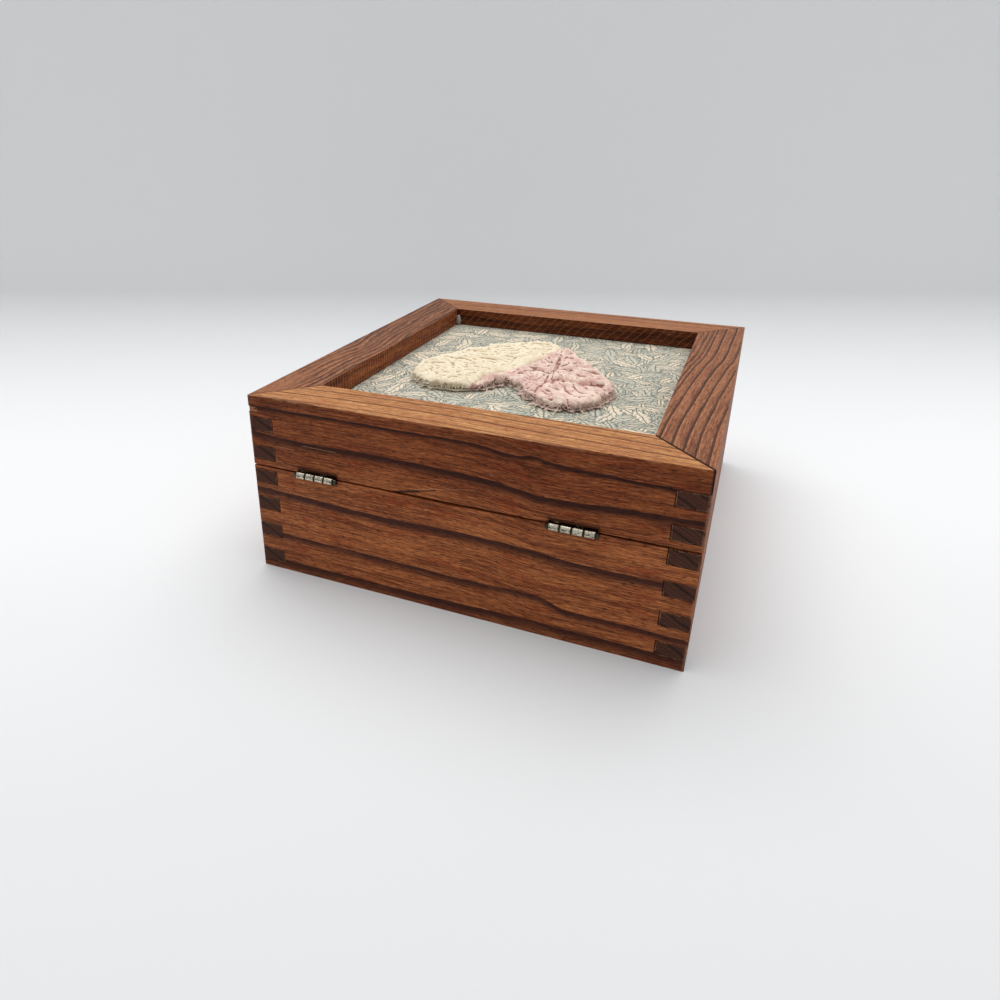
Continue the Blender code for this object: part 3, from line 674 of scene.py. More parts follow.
def printed_cloth():
    """Leaves in layers over a speckled ground, a little faded, with the weave of the cloth."""
    g = Graph("leafy_print_cloth")
    drift_x = (g.noise(g.x / 9, g.y / 9, 3.0) - 0.5) * 3.0
    drift_y = (g.noise(g.x / 9, g.y / 9, 8.0) - 0.5) * 3.0
    x, y = g.x + drift_x, g.y + drift_y
    speckle = g.noise(x / 1.3, y / 1.3, 5.0, detail=1.0)
    colour = g.mix(g.smooth(speckle, 0.45, 0.58), PRINT_GROUND, PRINT_PALE)
    for layer in LEAF_LAYERS:
        inside, drawn, shade = leaf_layer(g, x, y, *layer)
        leaf = g.mix(g.smooth(shade, 0.35, 0.65), PRINT_LEAF, PRINT_PALE)
        colour = g.mix(inside, colour, leaf)
        colour = g.mix(drawn * 0.9, colour, PRINT_LINE)
    faded = g.noise(g.x / 28, g.y / 28, 14.0, detail=3.0)
    colour = g.mix(g.smooth(faded, 0.35, 0.75) * 0.15, colour, PRINT_FADED)
    weft = abs(g.math("SINE", g.x * (math.pi / PRINT_THREAD)))
    warp = abs(g.math("SINE", g.y * (math.pi / PRINT_THREAD)))
    weave = g.most(weft, warp)
    g.shader.inputs["Sheen Weight"].default_value = 0.15
    return g.finish(colour, 0.85, weave, 0.05, specular=0.2)


def crinkled_cloth(name, pale, mid, deep_and_shade, seed):
    """Loosely woven cotton, with painted shade in its hollows and a painted shadow in the gap under its hem.
    """
    g = Graph(name)
    slub = g.noise(g.x / 1.1, g.y / 0.5, g.z / 1.1 + seed, detail=3.0, roughness=0.6)
    patch = g.noise(g.x / 7, g.y / 7, g.z / 7 + seed, detail=3.0)
    kept = g.nodes.new("ShaderNodeAttribute")
    kept.attribute_name = "hollow"
    hollow = Value(g, kept.outputs["Fac"])
    above = g.z - FABRIC_TOP
    hem_gap_shadow = g.smooth(above, 1.9, 1.3) * g.smooth(above, 0.85, 1.1)
    colour = g.mix(g.smooth(patch, 0.38, 0.66), pale, mid)
    colour = g.mix(g.smooth(slub, 0.52, 0.74) * 0.3, colour, deep_and_shade)
    # Painted shade in the cloth's hollows
    colour = g.mix(g.smooth(hollow, 0.01, 0.17) * 0.95, colour, deep_and_shade)
    # Painted shadow in the gap under the hem
    colour = g.mix(hem_gap_shadow * 0.9, colour, tuple(part * 0.4 for part in deep_and_shade))
    weft = g.math("SINE", (g.x + slub) * 9.5)
    warp = g.math("SINE", (g.y + slub) * 8.5)
    g.shader.inputs["Sheen Weight"].default_value = 0.2
    return g.finish(colour, 0.92, weft * warp * 0.35 + slub, 0.22, specular=0.1)


def plain_material(name, colour, roughness, specular=0.3):
    """A plain material with a little unevenness, for glue and thread."""
    g = Graph(name)
    uneven = g.noise(g.x / 1.5, g.y / 1.5, g.z / 1.5, detail=3.0)
    colour = g.mix(uneven * 0.4, colour, tuple(part * 0.72 for part in colour))
    return g.finish(colour, roughness, uneven, 0.15, specular)


def paint(obj, material):
    obj.data.materials.clear()
    obj.data.materials.append(material)


def round_edges(obj, width):
    """Close the imported faces up again and round their edges, without moving the node itself."""
    weld = obj.modifiers.new("close_faces", "WELD")
    weld.merge_threshold = WELD_DISTANCE * MM
    bevel = obj.modifiers.new("worn_edges", "BEVEL")
    bevel.width = width * MM
    bevel.segments = 2
    bevel.limit_method = "ANGLE"
    bevel.angle_limit = SHARP_ANGLE
    bevel.use_clamp_overlap = True


def new_piece(name, verts, faces, material, body="lid"):
    """A piece from points in millimetres, riding on a body."""
    mesh = bpy.data.meshes.new(name)
    mesh.from_pydata([(x * MM, y * MM, z * MM) for x, y, z in verts], [], faces)
    mesh.materials.append(material)
    mesh.shade_smooth()
    obj = bpy.data.objects.new(name, mesh)
    bpy.context.scene.collection.objects.link(obj)
    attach(obj, body)
    return obj


# Padded heart, as (x, y) points in millimetres on the fabric
HEART_TIP = (-5.0, -38.5)
HEART_TOP_SEAM = (18.4, 35.0)
CREAM_EDGE = ((3.5, -44.5), (12.3, -43), (26.3, -32.5), (38.1, -17.3), (44.8, -4.6), (50.6, 8), (51.3, 20),
              (46.9, 30), (38.4, 37), (28.5, 37.9))
PINK_EDGE = ((-12, -31.5), (-20, -21.5), (-29, -8), (-37, 3), (-41.6, 14), (-41.4, 26), (-36.5, 36),
             (-30, 41), (-23.5, 43), (-15.4, 40.5), (-8.3, 34), (-2.8, 26.6), (3.2, 20.6), (7.8, 22.6),
             (11.6, 29.6))
SEAM = ((16.2, 29), (14.6, 20.5), (10.1, 10.8), (5.1, 2.6), (2.4, -6), (-1, -17.8), (-4.4, -29.5))

# How far apart the cloth's points are and how wide its seam gapes, in millimetres, and how long it settles
CLOTH_SPACING = 2.3
SEAM_GAP = 0.12
SETTLE_FRAMES = 14


def spline_through(points, spacing):
    """Points a spacing apart on a smooth curve through the given ones, without the last one."""
    points = [Vector(point) for point in points]
    padded = [2 * points[0] - points[1], *points, 2 * points[-1] - points[-2]]
    curve = []
    for i in range(len(points) - 1):
        a, b, c, d = padded[i:i + 4]
        steps = max(1, round((c - b).length / spacing))
        for step in range(steps):
            t = step / steps
            curve.append(0.5 * (2 * b + (c - a) * t + (2 * a - 5 * b + 4 * c - d) * t ** 2
                                + (3 * b - a - 3 * c + d) * t ** 3))
    return curve


def side_normals(outline):
    """The direction out of a closed outline that runs anticlockwise, at each of its points."""
    normals = []
    for i, point in enumerate(outline):
        along = outline[(i + 1) % len(outline)] - outline[i - 1]
        normals.append(Vector((along.y, -along.x)).normalized())
    return normals


def nearest(points, line):
    """How far each point is from a line, and how far along the line its nearest place is.

    The line is given by points that may be 2.5 mm apart.
    """
    points = np.array([point[:2] for point in points])
    line = np.array([tuple(point) for point in line])
    fine = np.concatenate([line[:-1] + (line[1:] - line[:-1]) * share for share in (0, 0.25, 0.5, 0.75)], 1)
    fine = np.concatenate([fine.reshape(-1, 2), line[-1:]])
    steps = np.sqrt(((fine[1:] - fine[:-1]) ** 2).sum(1))
    travelled = np.concatenate([[0.0], np.cumsum(steps)])
    apart = np.sqrt(((points[:, None, :] - fine[None, :, :]) ** 2).sum(2))
    return apart.min(1), travelled[apart.argmin(1)]


def stroke_distance(point, start, end):
    """Distance from a straight stroke, and on which side of it the point is."""
    start, end = Vector(start), Vector(end)
    along = end - start
    share = min(1.0, max(0.0, (point - start).dot(along) / along.length_squared))
    off = point - start - along * share
    side = along.x * off.y - along.y * off.x
    return off.length, math.copysign(1.0, side)


def heart_outlines():
    """The two halves' outlines, each as its two sides in order."""
    seam = spline_through([HEART_TOP_SEAM, *SEAM, HEART_TIP], CLOTH_SPACING)
    cream_edge = spline_through([HEART_TIP, *CREAM_EDGE, HEART_TOP_SEAM], CLOTH_SPACING)
    pink_edge = spline_through([HEART_TIP, *PINK_EDGE, HEART_TOP_SEAM], CLOTH_SPACING)
    back_along_seam = [Vector(HEART_TIP), *reversed(seam[1:])]
    # Both run anticlockwise: the cream half up its outer edge, the pink half up the seam
    cream = (cream_edge, seam)
    pink = (back_along_seam, [Vector(HEART_TOP_SEAM), *reversed(pink_edge[1:])])
    return cream, pink


# Folds of the pink half and hollows of the cream half: from, to, width and depth, in millimetres
PINK_FOLDS = (
    ((5, -1), (-3, 1), 1.0, 1.3), ((-3, 1), (-9, -2.5), 1.0, 1.2), ((-20, 16.5), (-37, 17), 1.3, 2.3),
    ((-9, 11), (-17, 17), 0.9, 0.8), ((-12, -3), (-22, -14), 1.2, 0.8), ((-12, -3), (-9, -19), 1.0, 0.9),
    ((-12, -1), (-26, -8), 1.2, 0.7), ((-13, 1), (-31, 2), 1.5, 0.9), ((-13, 3), (-30, 9), 1.3, 0.8),
    ((-11, 3), (-14, 12), 1.0, 0.7), ((-3, 5), (-11, 9), 1.1, 0.7), ((0, -8), (-7, -14), 1.0, 0.8),
    ((-4, -18), (-12, -26), 1.2, 0.7), ((1, 12), (-5, 18), 1.0, 0.7), ((8, 14), (13, 24), 0.9, 0.7),
    ((3, 9), (9, 17), 0.8, 0.6), ((-20, 27), (-33, 28), 1.2, 0.6), ((-10, 26), (-20, 33), 1.1, 0.6),
)
CREAM_FOLDS = (
    ((26, -3), (20, -5), 0.9, 0.8), ((18, -15), (12, -17), 0.9, 0.8), ((9, -19), (4, -20), 0.9, 0.8),
    ((34, 2), (29, 4), 0.8, 0.6), ((24, 12), (16, 13), 1.0, 0.7), ((38, 9), (34, 13), 0.8, 0.5),
    ((33, 26), (28, 22), 0.8, 0.6), ((22, 26), (19, 20), 0.8, 0.6), ((42, 20), (40, 26), 0.8, 0.5),
    ((30, -14), (27, -18), 0.8, 0.6), ((14, 2), (10, -2), 0.8, 0.6), ((44, 6), (41, 2), 0.7, 0.5),
    ((18, -29), (13, -32), 0.8, 0.6), ((29, 33), (25, 28), 0.8, 0.7), ((12, -8), (9, -11), 0.7, 0.5),
)

# The cloth's height over the fabric at its middle and at its hem, and how far in its edge rolls up, in
# millimetres
HEART_LOFT = 4.6
HEM_LIFT = 2.2
EDGE_ROLL = 3.6

# The dip at the seam and the gathers at the hem, with how far each reaches, in millimetres
SEAM_DIP = 1.3
SEAM_REACH = 1.6
GATHER_HEIGHT = 1.1
GATHER_REACH = 3.4

# How ragged the hem is, how far from the seam it starts, and where the pink half's pleats spread from
HEM_RAG = 1.5
HEM_START = 1.5
PLEATS_FROM = (-12.0, -2.0)

# The ragged under-layer, how far it stands out and how much that varies for each half, in millimetres
FLAP_TOP = 0.75
FLAP_BOTTOM = 0.3
CREAM_FLAP = (0.3, 1.3)
PINK_FLAP = (0.9, 2.2)

# Cloth colours: pale, mid, and deep, which also serves as the painted shade in its hollows
CREAM_COTTON = ((0.95, 0.83, 0.62), (0.90, 0.76, 0.54), (0.50, 0.36, 0.21))
PINK_COTTON = ((0.94, 0.74, 0.61), (0.78, 0.50, 0.43), (0.36, 0.16, 0.13))
CREAM_THREAD = (0.88, 0.78, 0.62)
PINK_THREAD = (0.84, 0.65, 0.56)
DRIED_GLUE = (0.40, 0.37, 0.37)

# How the cloth behaves while it settles, and how far it may move, in metres
CLOTH_SETTINGS = {"quality": 6, "mass": 0.15, "tension_stiffness": 12, "compression_stiffness": 12,
                  "shear_stiffness": 6, "bending_stiffness": 0.25, "shrink_min": -0.04,
                  "use_pressure": True, "uniform_pressure_force": 2.5}
CLOTH_MOVE_CAP = 0.5 * MM


def split_triangles(points, triangles, ring):
    """Each triangle in four. The ring of outline points stays in order."""
    points = list(points)
    middles = {}

    def middle(a, b):
        key = (min(a, b), max(a, b))
        if key not in middles:
            middles[key] = len(points)
            points.append((points[a] + points[b]) / 2)
        return middles[key]

    finer = []
    for a, b, c in triangles:
        ab, bc, ca = middle(a, b), middle(b, c), middle(c, a)
        finer += [(a, ab, ca), (ab, b, bc), (ca, bc, c), (ab, bc, ca)]
    finer_ring = []
    for a, b in zip(ring, ring[1:] + ring[:1]):
        finer_ring += [a, middle(a, b)]
    return points, finer, finer_ring


def fill_outline(outline, seed):
    """Even triangles inside an outline, as points, triangles and the outline's own points in order."""
    low = [min(point[i] for point in outline) for i in (0, 1)]
    high = [max(point[i] for point in outline) for i in (0, 1)]
    rng = random.Random(seed)
    row_step = CLOTH_SPACING * 0.87
    inner = []
    for row in range(int((high[1] - low[1]) / row_step)):
        for column in range(int((high[0] - low[0]) / CLOTH_SPACING)):
            x = low[0] + (column + 0.5 * (row % 2) + rng.uniform(-0.2, 0.2)) * CLOTH_SPACING
            y = low[1] + (row + rng.uniform(-0.2, 0.2)) * row_step
            inner.append(Vector((x, y)))
    gap, _ = nearest(inner, outline)
    inner = [point for point, far in zip(inner, gap) if far > CLOTH_SPACING * 0.6]
    count = len(outline)
    edges = [(i, (i + 1) % count) for i in range(count)]
    points, _, triangles = geometry.delaunay_2d_cdt([*outline, *inner], edges, [], 1, 1e-4)[:3]
    ring = list(range(count))
    used = sorted({i for face in triangles for i in face} | set(ring))
    renumber = {old: new for new, old in enumerate(used)}
    points = [points[i] for i in used]
    triangles = [tuple(renumber[i] for i in face) for face in triangles]
    return split_triangles(points, triangles, ring)


def half_height(point, edge, along, seam, folds, seed):
    """Height of the cloth over the fabric, so far from and along the outer edge and so far from the seam."""
    roll = math.sqrt(max(0.0, 1 - (1 - min(edge / EDGE_ROLL, 1)) ** 2))
    height = HEM_LIFT + (HEART_LOFT - HEM_LIFT) * roll
    height -= SEAM_DIP * math.exp(-(seam / SEAM_REACH) ** 2) * roll
    height += 0.5 * roll * noise.noise(Vector((point.x, point.y, seed * 10.0)) / 8.0)
    # Small gathers that the hem draws in, which die out inwards
    gather = noise.noise(Vector((along / 1.7, edge / 7, seed)))
    height += GATHER_HEIGHT * gather * math.exp(-(edge / GATHER_REACH) ** 2)
    for start, end, width, depth in folds:
        far, side = stroke_distance(point, start, end)
        height -= depth * math.exp(-(far / width) ** 2) * roll
        # The cloth piles up on one side of a fold
        height += 0.45 * depth * math.exp(-((far - 1.7 * width) / width) ** 2) * roll * (side > 0)
    return height


def ragged_edge(point, seed):
    """How far the torn edge stands out or in at a place, from -1 to 1."""
    place = Vector((point.x, point.y, seed))
    return noise.noise(place / 2.1) + 0.5 * noise.noise(place / 0.9)


def hem_faces(verts, ring, outline, normals, on_edge, flap, seed):
    """Below the hem: in under it, out to the under-layer's edge, and down to the fabric.

    Adds its points to verts, and gives its faces and its lowest ring of points.
    """
    flap_reach, flap_rag = flap
    rings = [ring]
    for reach, height in ((-1.7, 1.5), (-1.9, FLAP_TOP + 0.2), (flap_reach, FLAP_TOP - 0.1),
                          (flap_reach - 0.1, FLAP_BOTTOM)):
        lower = []
        for point, normal, free in zip(outline, normals, on_edge):
            ragged = ragged_edge(point, seed + 5.0) * flap_rag
            out = (reach + ragged * (reach > 0)) if free else -0.1
            lifted = height + 0.4 * abs(ragged) * (reach > 0)
            lower.append(len(verts))
            verts.append((*(point + normal * out), FABRIC_TOP + lifted))
        rings.append(lower)
    faces = []
    count = len(ring)
    for upper, lower in zip(rings, rings[1:]):
        for i in range(count):
            after = (i + 1) % count
            faces.append((upper[after], upper[i], lower[i], lower[after]))
    return faces, rings[-1]


def heart_half(name, parts, edge_first, folds, flap, material, node, seed):
    """One stuffed half: cloth above, a hem that overhangs, and a ragged under-layer on the fabric.

    Flap says how far the under-layer stands out, and how much that varies, in millimetres.
    """
    edge, seam = (parts[0], parts[1]) if edge_first else (parts[1], parts[0])
    outline = [*parts[0], *parts[1]]
    outline = [point - normal * SEAM_GAP for point, normal in zip(outline, side_normals(outline))]
    points, faces, ring = fill_outline(outline, seed)
    outline = [points[i] for i in ring]
    normals = side_normals(outline)
    on_edge = [far > HEM_START for far in nearest(outline, seam)[0]]
    for i, point, normal, free in zip(ring, outline, normals, on_edge):
        if free:
            points[i] = point + normal * ragged_edge(point, seed) * HEM_RAG
    outline = [points[i] for i in ring]
    closed_edge = [*edge, seam[0] if edge_first else parts[0][0]]
    from_edge, along_edge = nearest(points, closed_edge)
    from_seam, _ = nearest(points, seam)
    verts = []
    for point, far, along, seam_far in zip(points, from_edge, along_edge, from_seam):
        height = half_height(point, far, along, seam_far, folds, seed)
        verts.append((point.x, point.y, FABRIC_TOP + height))
    sides, lowest = hem_faces(verts, ring, outline, normals, on_edge, flap, seed)
    # The underside repeats the triangles of the upper cloth, turned over
    below = dict(zip(ring, lowest))
    for i, point in enumerate(points):
        if i not in below:
            below[i] = len(verts)
            verts.append((point.x, point.y, FABRIC_TOP + FLAP_BOTTOM))
    underside = [(below[c], below[b], below[a]) for a, b, c in faces]
    obj = new_piece(name, verts, [*faces, *sides, *underside], material)
    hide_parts(node)
    return obj, outline, normals, on_edge


def select_only(obj):
    bpy.ops.object.select_all(action="DESELECT")
    obj.select_set(True)
    bpy.context.view_layer.objects.active = obj


def settle_cloth(obj, pinned_below):
    """Let the upper cloth buckle, as cloth does that is a little too large for what it covers."""
    group = obj.vertex_groups.new(name="held")
    held = [v.index for v in obj.data.vertices if v.co.z < pinned_below]
    group.add(held, 1.0, "REPLACE")
    before = [v.co.copy() for v in obj.data.vertices]
    cloth = obj.modifiers.new("settle", "CLOTH")
    cloth.settings.vertex_group_mass = "held"
    for setting, value in CLOTH_SETTINGS.items():
        setattr(cloth.settings, setting, value)
    cloth.settings.effector_weights.gravity = 0.0
    cloth.collision_settings.use_collision = False
    for number in range(1, SETTLE_FRAMES + 1):
        bpy.context.scene.frame_set(number)
    select_only(obj)
    bpy.ops.object.modifier_apply(modifier=cloth.name)
    bpy.context.scene.frame_set(1)
    for vert, old in zip(obj.data.vertices, before):
        move = vert.co - old
        if move.length > CLOTH_MOVE_CAP:
            vert.co = old + move.normalized() * CLOTH_MOVE_CAP


def billow(x, y, seed, sharpness=2.6):
    """Rounded folds of height 1 with sharp creases of height 0 between them."""
    return min(1.0, abs(noise.noise(Vector((x, y, seed)))) * sharpness)


def crease_height(spot, seed, radiating):
    """How much the small creases lift the cloth at a place, in millimetres."""
    if not radiating:
        soft = billow(spot.x / 7.0, spot.y / 3.4, seed)
        fine = billow(spot.x / 2.6, spot.y / 1.4, seed + 3.0)
        return 0.5 * (soft - 0.5) + 0.26 * (fine - 0.5)
    out_x, out_y = spot.x - PLEATS_FROM[0], spot.y - PLEATS_FROM[1]
    reach = math.hypot(out_x, out_y)
    # The turn has no jump on the side towards the seam, where the pleats fade out
    turn = math.atan2(out_y, 0.0 - out_x)
    away_from_seam = min(1.0, max(0.0, (2.9 - abs(turn)) / 0.5))
    pleats = billow(turn * 7.0, reach / 18.0, seed, 3.4) * min(1.0, reach / 9.0) * away_from_seam
    long_folds = billow(spot.x / 13.0, spot.y / 2.3, seed + 2.0, 3.6)
    fine = billow(spot.x / 4.0, spot.y / 1.2, seed + 5.0)
    return 0.85 * (pleats - 0.5) + 0.75 * (long_folds - 0.5) + 0.22 * (fine - 0.5)


def crinkle(obj, seed, radiating):
    """Finer mesh with soft creases all over the cloth, none on its underside."""
    select_only(obj)
    finer = obj.modifiers.new("finer", "SUBSURF")
    finer.levels = 1
    bpy.ops.object.modifier_apply(modifier=finer.name)
    mesh = obj.data
    normals = [vert.normal.copy() for vert in mesh.vertices]
    for vert, normal in zip(mesh.vertices, normals):
        spot = vert.co / MM
        raised = min(1.0, max(0.0, (spot.z - FABRIC_TOP - 0.6) / 1.2))
        vert.co += normal * crease_height(spot, seed, radiating) * raised * MM


def mark_hollows(obj, rounds=6):
    """Keep at each point how far it lies below the cloth round it, so that the material can paint shade
    there.
    """
    mesh = obj.data
    count = len(mesh.vertices)
    places, normals = np.empty(count * 3), np.empty(count * 3)
    mesh.vertices.foreach_get("co", places)
    mesh.vertices.foreach_get("normal", normals)
    places, normals = places.reshape(-1, 3) / MM, normals.reshape(-1, 3)
    ends = np.empty(len(mesh.edges) * 2, dtype=np.int32)
    mesh.edges.foreach_get("vertices", ends)
    first, second = ends.reshape(-1, 2).T
    neighbours = np.bincount(ends, minlength=count)[:, None]
    level = places.copy()
    for _ in range(rounds):
        total = np.zeros_like(level)
        np.add.at(total, first, level[second])
        np.add.at(total, second, level[first])
        level = total / neighbours
    hollow = ((level - places) * normals).sum(1)
    kept = mesh.attributes.new("hollow", "FLOAT", "POINT")
    kept.data.foreach_set("value", hollow.astype(np.float32))


# Where fibres start: height over the fabric and distance out of the hem, None for the under-layer's edge
FRINGE_STARTS = ((0.55, None), (0.65, None), (1.6, -0.6), (2.1, -0.3), (2.4, -0.3), (2.7, -0.5))
FIBRE_STEPS = 4
FIBRE_SIDES = 3


def tube(verts, faces, centres, radii, across, sides):
    """A thin tube round a line of points, with flat ends, added to a list of points and faces."""
    first = len(verts)
    for centre, radius in zip(centres, radii):
        for turn in range(sides):
            angle = turn * math.tau / sides
            up = Vector((0, 0, math.sin(angle) * radius))
            verts.append(tuple(centre + across * (math.cos(angle) * radius) + up))
    steps = len(centres) - 1
    for i in range(steps):
        for turn in range(sides):
            a, b = first + i * sides + turn, first + i * sides + (turn + 1) % sides
            faces.append((a, b, b + sides, a + sides))
    faces.append(tuple(first + turn for turn in reversed(range(sides))))
    faces.append(tuple(first + steps * sides + turn for turn in range(sides)))


def strand(verts, faces, start, direction, length, radius, droop, rng):
    """A thin tapered fibre that bends sideways and droops, but not below the fabric."""
    across = Vector((-direction.y, direction.x, 0)).normalized()
    bend = rng.uniform(-0.5, 0.5)
    centres, radii = [], []
    for i in range(FIBRE_STEPS + 1):
        t = i / FIBRE_STEPS
        centre = start + direction * (length * t) + across * (bend * length * t * t)
        centre = centre + Vector((0, 0, -droop * t * t))
        centre.z = max(centre.z, FABRIC_TOP + 0.15)
        centres.append(centre)
        radii.append(radius * (1 - 0.75 * t))
    tube(verts, faces, centres, radii, across, FIBRE_SIDES)


def fringe(name, outline, normals, on_edge, flap, material, seed, longest):
    """Frayed fibres round the hem of one half and the edge of its under-layer."""
    rng = random.Random(seed)
    verts, faces = [], []
    for i, (point, normal) in enumerate(zip(outline, normals)):
        if not on_edge[i]:
            continue
        after = outline[(i + 1) % len(outline)]
        flap_edge = flap[0] + ragged_edge(point, seed + 5.0) * flap[1]
        for level, out in FRINGE_STARTS:
            place = point.lerp(after, rng.random())
            turned = normal.copy()
            turned.rotate(Euler((0, 0, rng.uniform(-0.9, 0.9))).to_matrix().to_2x2())
            out = flap_edge - 0.4 if out is None else out
            start = Vector((*(place + normal * out), FABRIC_TOP + level))
            direction = Vector((*turned, rng.uniform(-0.15, 0.45))).normalized()
            length = rng.uniform(0.3, 1.0) ** 1.5 * longest
            strand(verts, faces, start, direction, length, rng.uniform(0.12, 0.22), level * 0.4, rng)
    new_piece(name, verts, faces, material)


# Loose threads: where each starts and ends on the fabric, in millimetres. The last one lies on the heart.
THREADS = (((9.5, 34.0), (11.2, 40.0)), ((-16.0, 38.6), (-21.3, 45.6)), ((-24.3, 42.5), (-25.0, 48.6)),
           ((-17.5, 40.0), (-14.0, 43.5)), ((-33, 38.2), (-35.5, 42.0)), ((33.0, 36.5), (36.0, 40.2)),
           ((-8.6, -19.0), (-11.6, -10.0)))
THREAD_STEPS = 8
THREAD_SIDES = 5
THREAD_RADIUS = 0.16


def loose_threads(material):
    """A few longer threads that stick out of the frayed edges, and one on top."""
    verts, faces = [], []
    for number, (start, end) in enumerate(THREADS):
        start, end = Vector((*start, 0)), Vector((*end, 0))
        across = Vector((start.y - end.y, end.x - start.x, 0)).normalized()
        on_top = number == len(THREADS) - 1
        centres = []
        for i in range(THREAD_STEPS + 1):
            t = i / THREAD_STEPS
            rise = HEART_LOFT + 0.6 if on_top else 2.2 * (1 - t) ** 2 + 0.35
            centre = start.lerp(end, t) + across * 0.8 * math.sin(t * 3.0 + number)
            centre.z = FABRIC_TOP + rise
            centres.append(centre)
        tube(verts, faces, centres, [THREAD_RADIUS] * len(centres), across, THREAD_SIDES)
    new_piece("heart_threads", verts, faces, material)


def make_heart():
    """Both halves with their fringes, and the loose threads."""
    cream_cloth = crinkled_cloth("cream_cotton", *CREAM_COTTON, 3.0)
    pink_cloth = crinkled_cloth("pink_cotton", *PINK_COTTON, 8.0)
    cream_thread = plain_material("cream_thread", CREAM_THREAD, 0.8)
    pink_thread = plain_material("pink_thread", PINK_THREAD, 0.8)
    cream, pink = heart_outlines()
    halves = (
        ("cream", cream, CREAM_FOLDS, CREAM_FLAP, cream_cloth, cream_thread, 4, 2.6),
        ("pink", pink, PINK_FOLDS, PINK_FLAP, pink_cloth, pink_thread, 9, 2.2),
    )
    for colour, parts, folds, flap, material, thread, seed, longest in halves:
        name = f"heart_{colour}"
        half, outline, normals, on_edge = heart_half(
            f"{name}_half", parts, colour == "cream", folds, flap, material, name, seed)
        settle_cloth(half, (FABRIC_TOP + HEM_LIFT + 0.15) * MM)
        crinkle(half, seed, colour == "pink")
        mark_hollows(half)
        half.data.shade_smooth()
        fringe(f"{name}_fringe", outline, normals, on_edge, flap, thread, seed, longest)
    loose_threads(cream_thread)


# The printed sheet, in millimetres
SHEET_SPACING = 1.3
SHEET_THICKNESS = 0.35
SHEET_WAVE = 0.16


def printed_sheet():
    """The print stretched over its board, with the faint waves of cloth that is only glued at its edges."""
    width, length = FABRIC_HIGH.x - FABRIC_LOW.x, FABRIC_HIGH.y - FABRIC_LOW.y
    columns, rows = round(width / SHEET_SPACING), round(length / SHEET_SPACING)
    verts = []
    for row in range(rows + 1):
        for column in range(columns + 1):
            x = FABRIC_LOW.x + width * column / columns
            y = FABRIC_LOW.y + length * row / rows
            inside = min(1.0, (RAIL_INNER_X - abs(x)) / 12, (RAIL_INNER_Y - abs(y)) / 12)
            wave = noise.noise(Vector((x / 22, y / 22, 1.0))) * max(0.0, inside)
            verts.append((x, y, FABRIC_TOP - SHEET_WAVE + SHEET_WAVE * wave))
    faces = []
    for row in range(rows):
        for column in range(columns):
            a = row * (columns + 1) + column
            faces.append((a, a + 1, a + columns + 2, a + columns + 1))
    sheet = new_piece("printed_sheet", verts, faces, printed_cloth())
    thick = sheet.modifiers.new("thickness", "SOLIDIFY")
    thick.thickness = SHEET_THICKNESS * MM
    thick.offset = -1.0
    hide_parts("panel_fabric")


def glue_dab():
    """Dried glue in the right front corner of the frame's recess."""
    centre = Vector((RAIL_INNER_X - 0.9, -RAIL_INNER_Y + 0.9, FABRIC_TOP + 2.6))
    verts, faces = [], []
    rings, sides = 12, 16
    for ring in range(1, rings):
        polar = math.pi * ring / rings
        for side in range(sides):
            turn = math.tau * side / sides
            across = math.sin(polar)
            direction = Vector((across * math.cos(turn), across * math.sin(turn), math.cos(polar)))
            lump = 1 + 0.5 * noise.noise(direction * 1.9 + Vector((5, 0, 0)))
            stretched = Vector((direction.x * 1.5, direction.y * 1.2, direction.z * 2.9))
            verts.append(tuple(centre + stretched * lump))
    for ring in range(rings - 2):
        for side in range(sides):
            a, b = ring * sides + side, ring * sides + (side + 1) % sides
            faces.append((a, a + sides, b + sides, b))
    faces.append(tuple(range(sides)))
    faces.append(tuple(reversed(range((rings - 2) * sides, (rings - 1) * sides))))
    new_piece("glue_dab", verts, faces, plain_material("dried_glue", DRIED_GLUE, 0.4, 0.5))


def dress_frame():
    """Give every node that stays its own finish and worn edges."""
    woods = make_woods()
    for place in ("front", "left", "right"):
        woods[f"lid_wall_{place}"] = woods[f"wall_{place}"]
    nickel = metal("worn_nickel", NICKEL, 0.2, 0.6, knuckles=True)
    steel = metal("screw_steel", STEEL, 0.35, 0.8)
    for name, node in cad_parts.items():
        if name in woods:
            paint(node, woods[name])
            round_edges(node, WOOD_EDGE)
        elif "leaf" in name or "pin" in name:
            paint(node, nickel)
            round_edges(node, METAL_EDGE)
        elif "screw" in name:
            paint(node, steel)
            round_edges(node, SCREW_EDGE)


def stage_material():
    """Pale paper, with painted shade that greys it away from the backdrop."""
    g = Graph("backdrop_paper")
    colour = g.mix(g.smooth(g.y, -120.0, 450.0), PAPER, PAPER_PAINTED_SHADE)
    g.put(colour, g.shader.inputs["Base Color"])
    g.shader.inputs["Roughness"].default_value = 0.75
    g.shader.inputs["Specular IOR Level"].default_value = 0.15
    return g.material


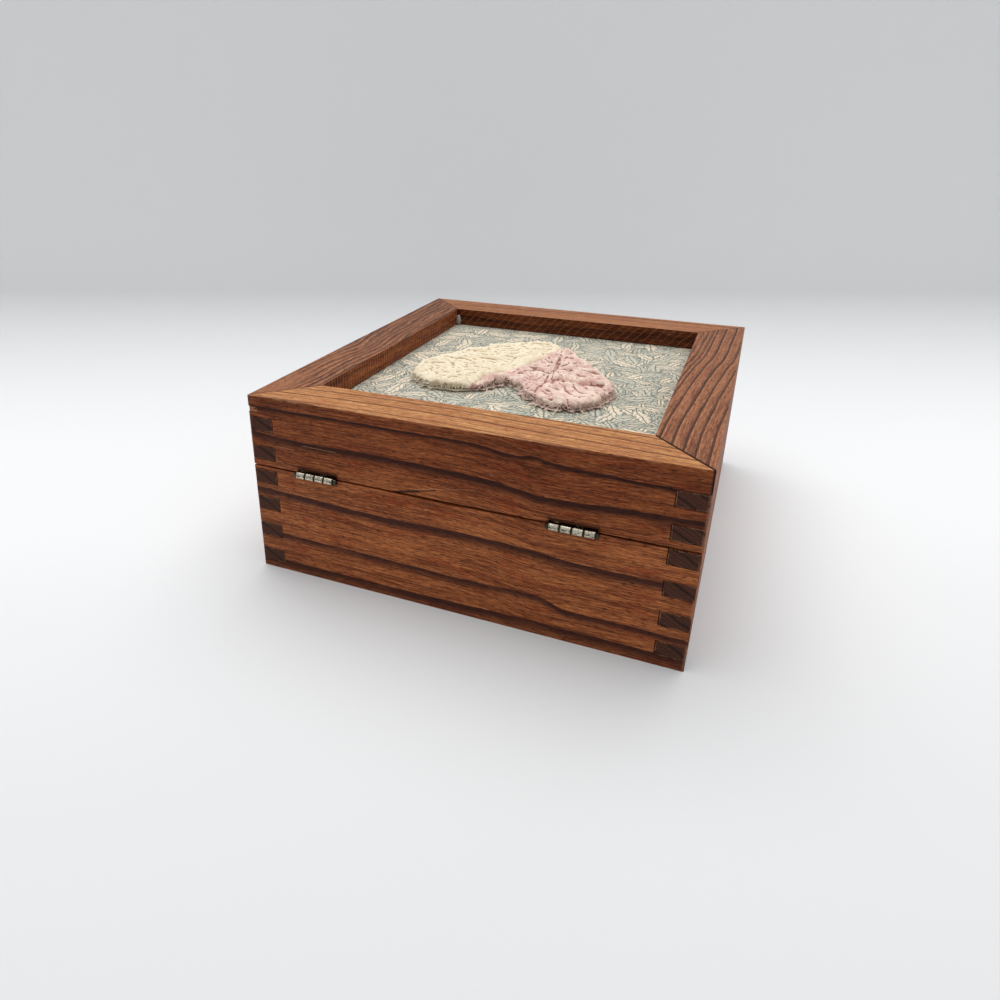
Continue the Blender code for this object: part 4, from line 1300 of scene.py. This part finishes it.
def make_stage():
    """Pale floor that curves up into a backdrop."""
    profile = [(FLOOR_FRONT, 0.0), (BACKDROP_START, 0.0)]
    for i in range(1, BACKDROP_STEPS + 1):
        angle = math.pi / 2 * i / BACKDROP_STEPS
        profile.append((BACKDROP_START - BACKDROP_RADIUS * math.sin(angle),
                        BACKDROP_RADIUS * (1 - math.cos(angle))))
    profile.append((BACKDROP_START - BACKDROP_RADIUS, BACKDROP_HEIGHT))
    verts = [(side * FLOOR_HALF_WIDTH, y, z) for y, z in profile for side in (-1, 1)]
    faces = [(2 * i, 2 * i + 1, 2 * i + 3, 2 * i + 2) for i in range(len(profile) - 1)]
    mesh = bpy.data.meshes.new("backdrop")
    mesh.from_pydata(verts, [], faces)
    mesh.shade_smooth()
    mesh.materials.append(stage_material())
    backdrop = bpy.data.objects.new("backdrop", mesh)
    backdrop.rotation_euler.z = STAGE_TURN
    bpy.context.scene.collection.objects.link(backdrop)


def make_lights():
    """One wide soft light from above, and a pale room all round."""
    world = bpy.data.worlds.new("pale_room")
    world.use_nodes = True
    background = world.node_tree.nodes["Background"]
    background.inputs["Color"].default_value = ROOM_COLOUR
    background.inputs["Strength"].default_value = ROOM_STRENGTH
    bpy.context.scene.world = world
    data = bpy.data.lights.new("key", "AREA")
    data.shape = "RECTANGLE"
    data.size, data.size_y = KEY_SIZE
    data.energy = KEY_POWER
    light = bpy.data.objects.new("key", data)
    light.location = KEY_PLACE
    light.rotation_euler = Vector(KEY_PLACE).to_track_quat("Z", "Y").to_euler()
    bpy.context.scene.collection.objects.link(light)
    bpy.context.scene.view_settings.view_transform = "Standard"


def make_camera():
    data = bpy.data.cameras.new("camera")
    data.lens = CAMERA_LENS
    data.sensor_width = CAMERA_SENSOR
    data.shift_x, data.shift_y = CAMERA_SHIFT
    data.clip_start, data.clip_end = 0.01, 20.0
    camera = bpy.data.objects.new("camera", data)
    camera.location = CAMERA_PLACE
    camera.rotation_euler = [math.radians(angle) for angle in CAMERA_ANGLES]
    bpy.context.scene.collection.objects.link(camera)
    bpy.context.scene.camera = camera


make_camera()
make_stage()
make_lights()
dress_frame()
printed_sheet()
make_heart()
glue_dab()
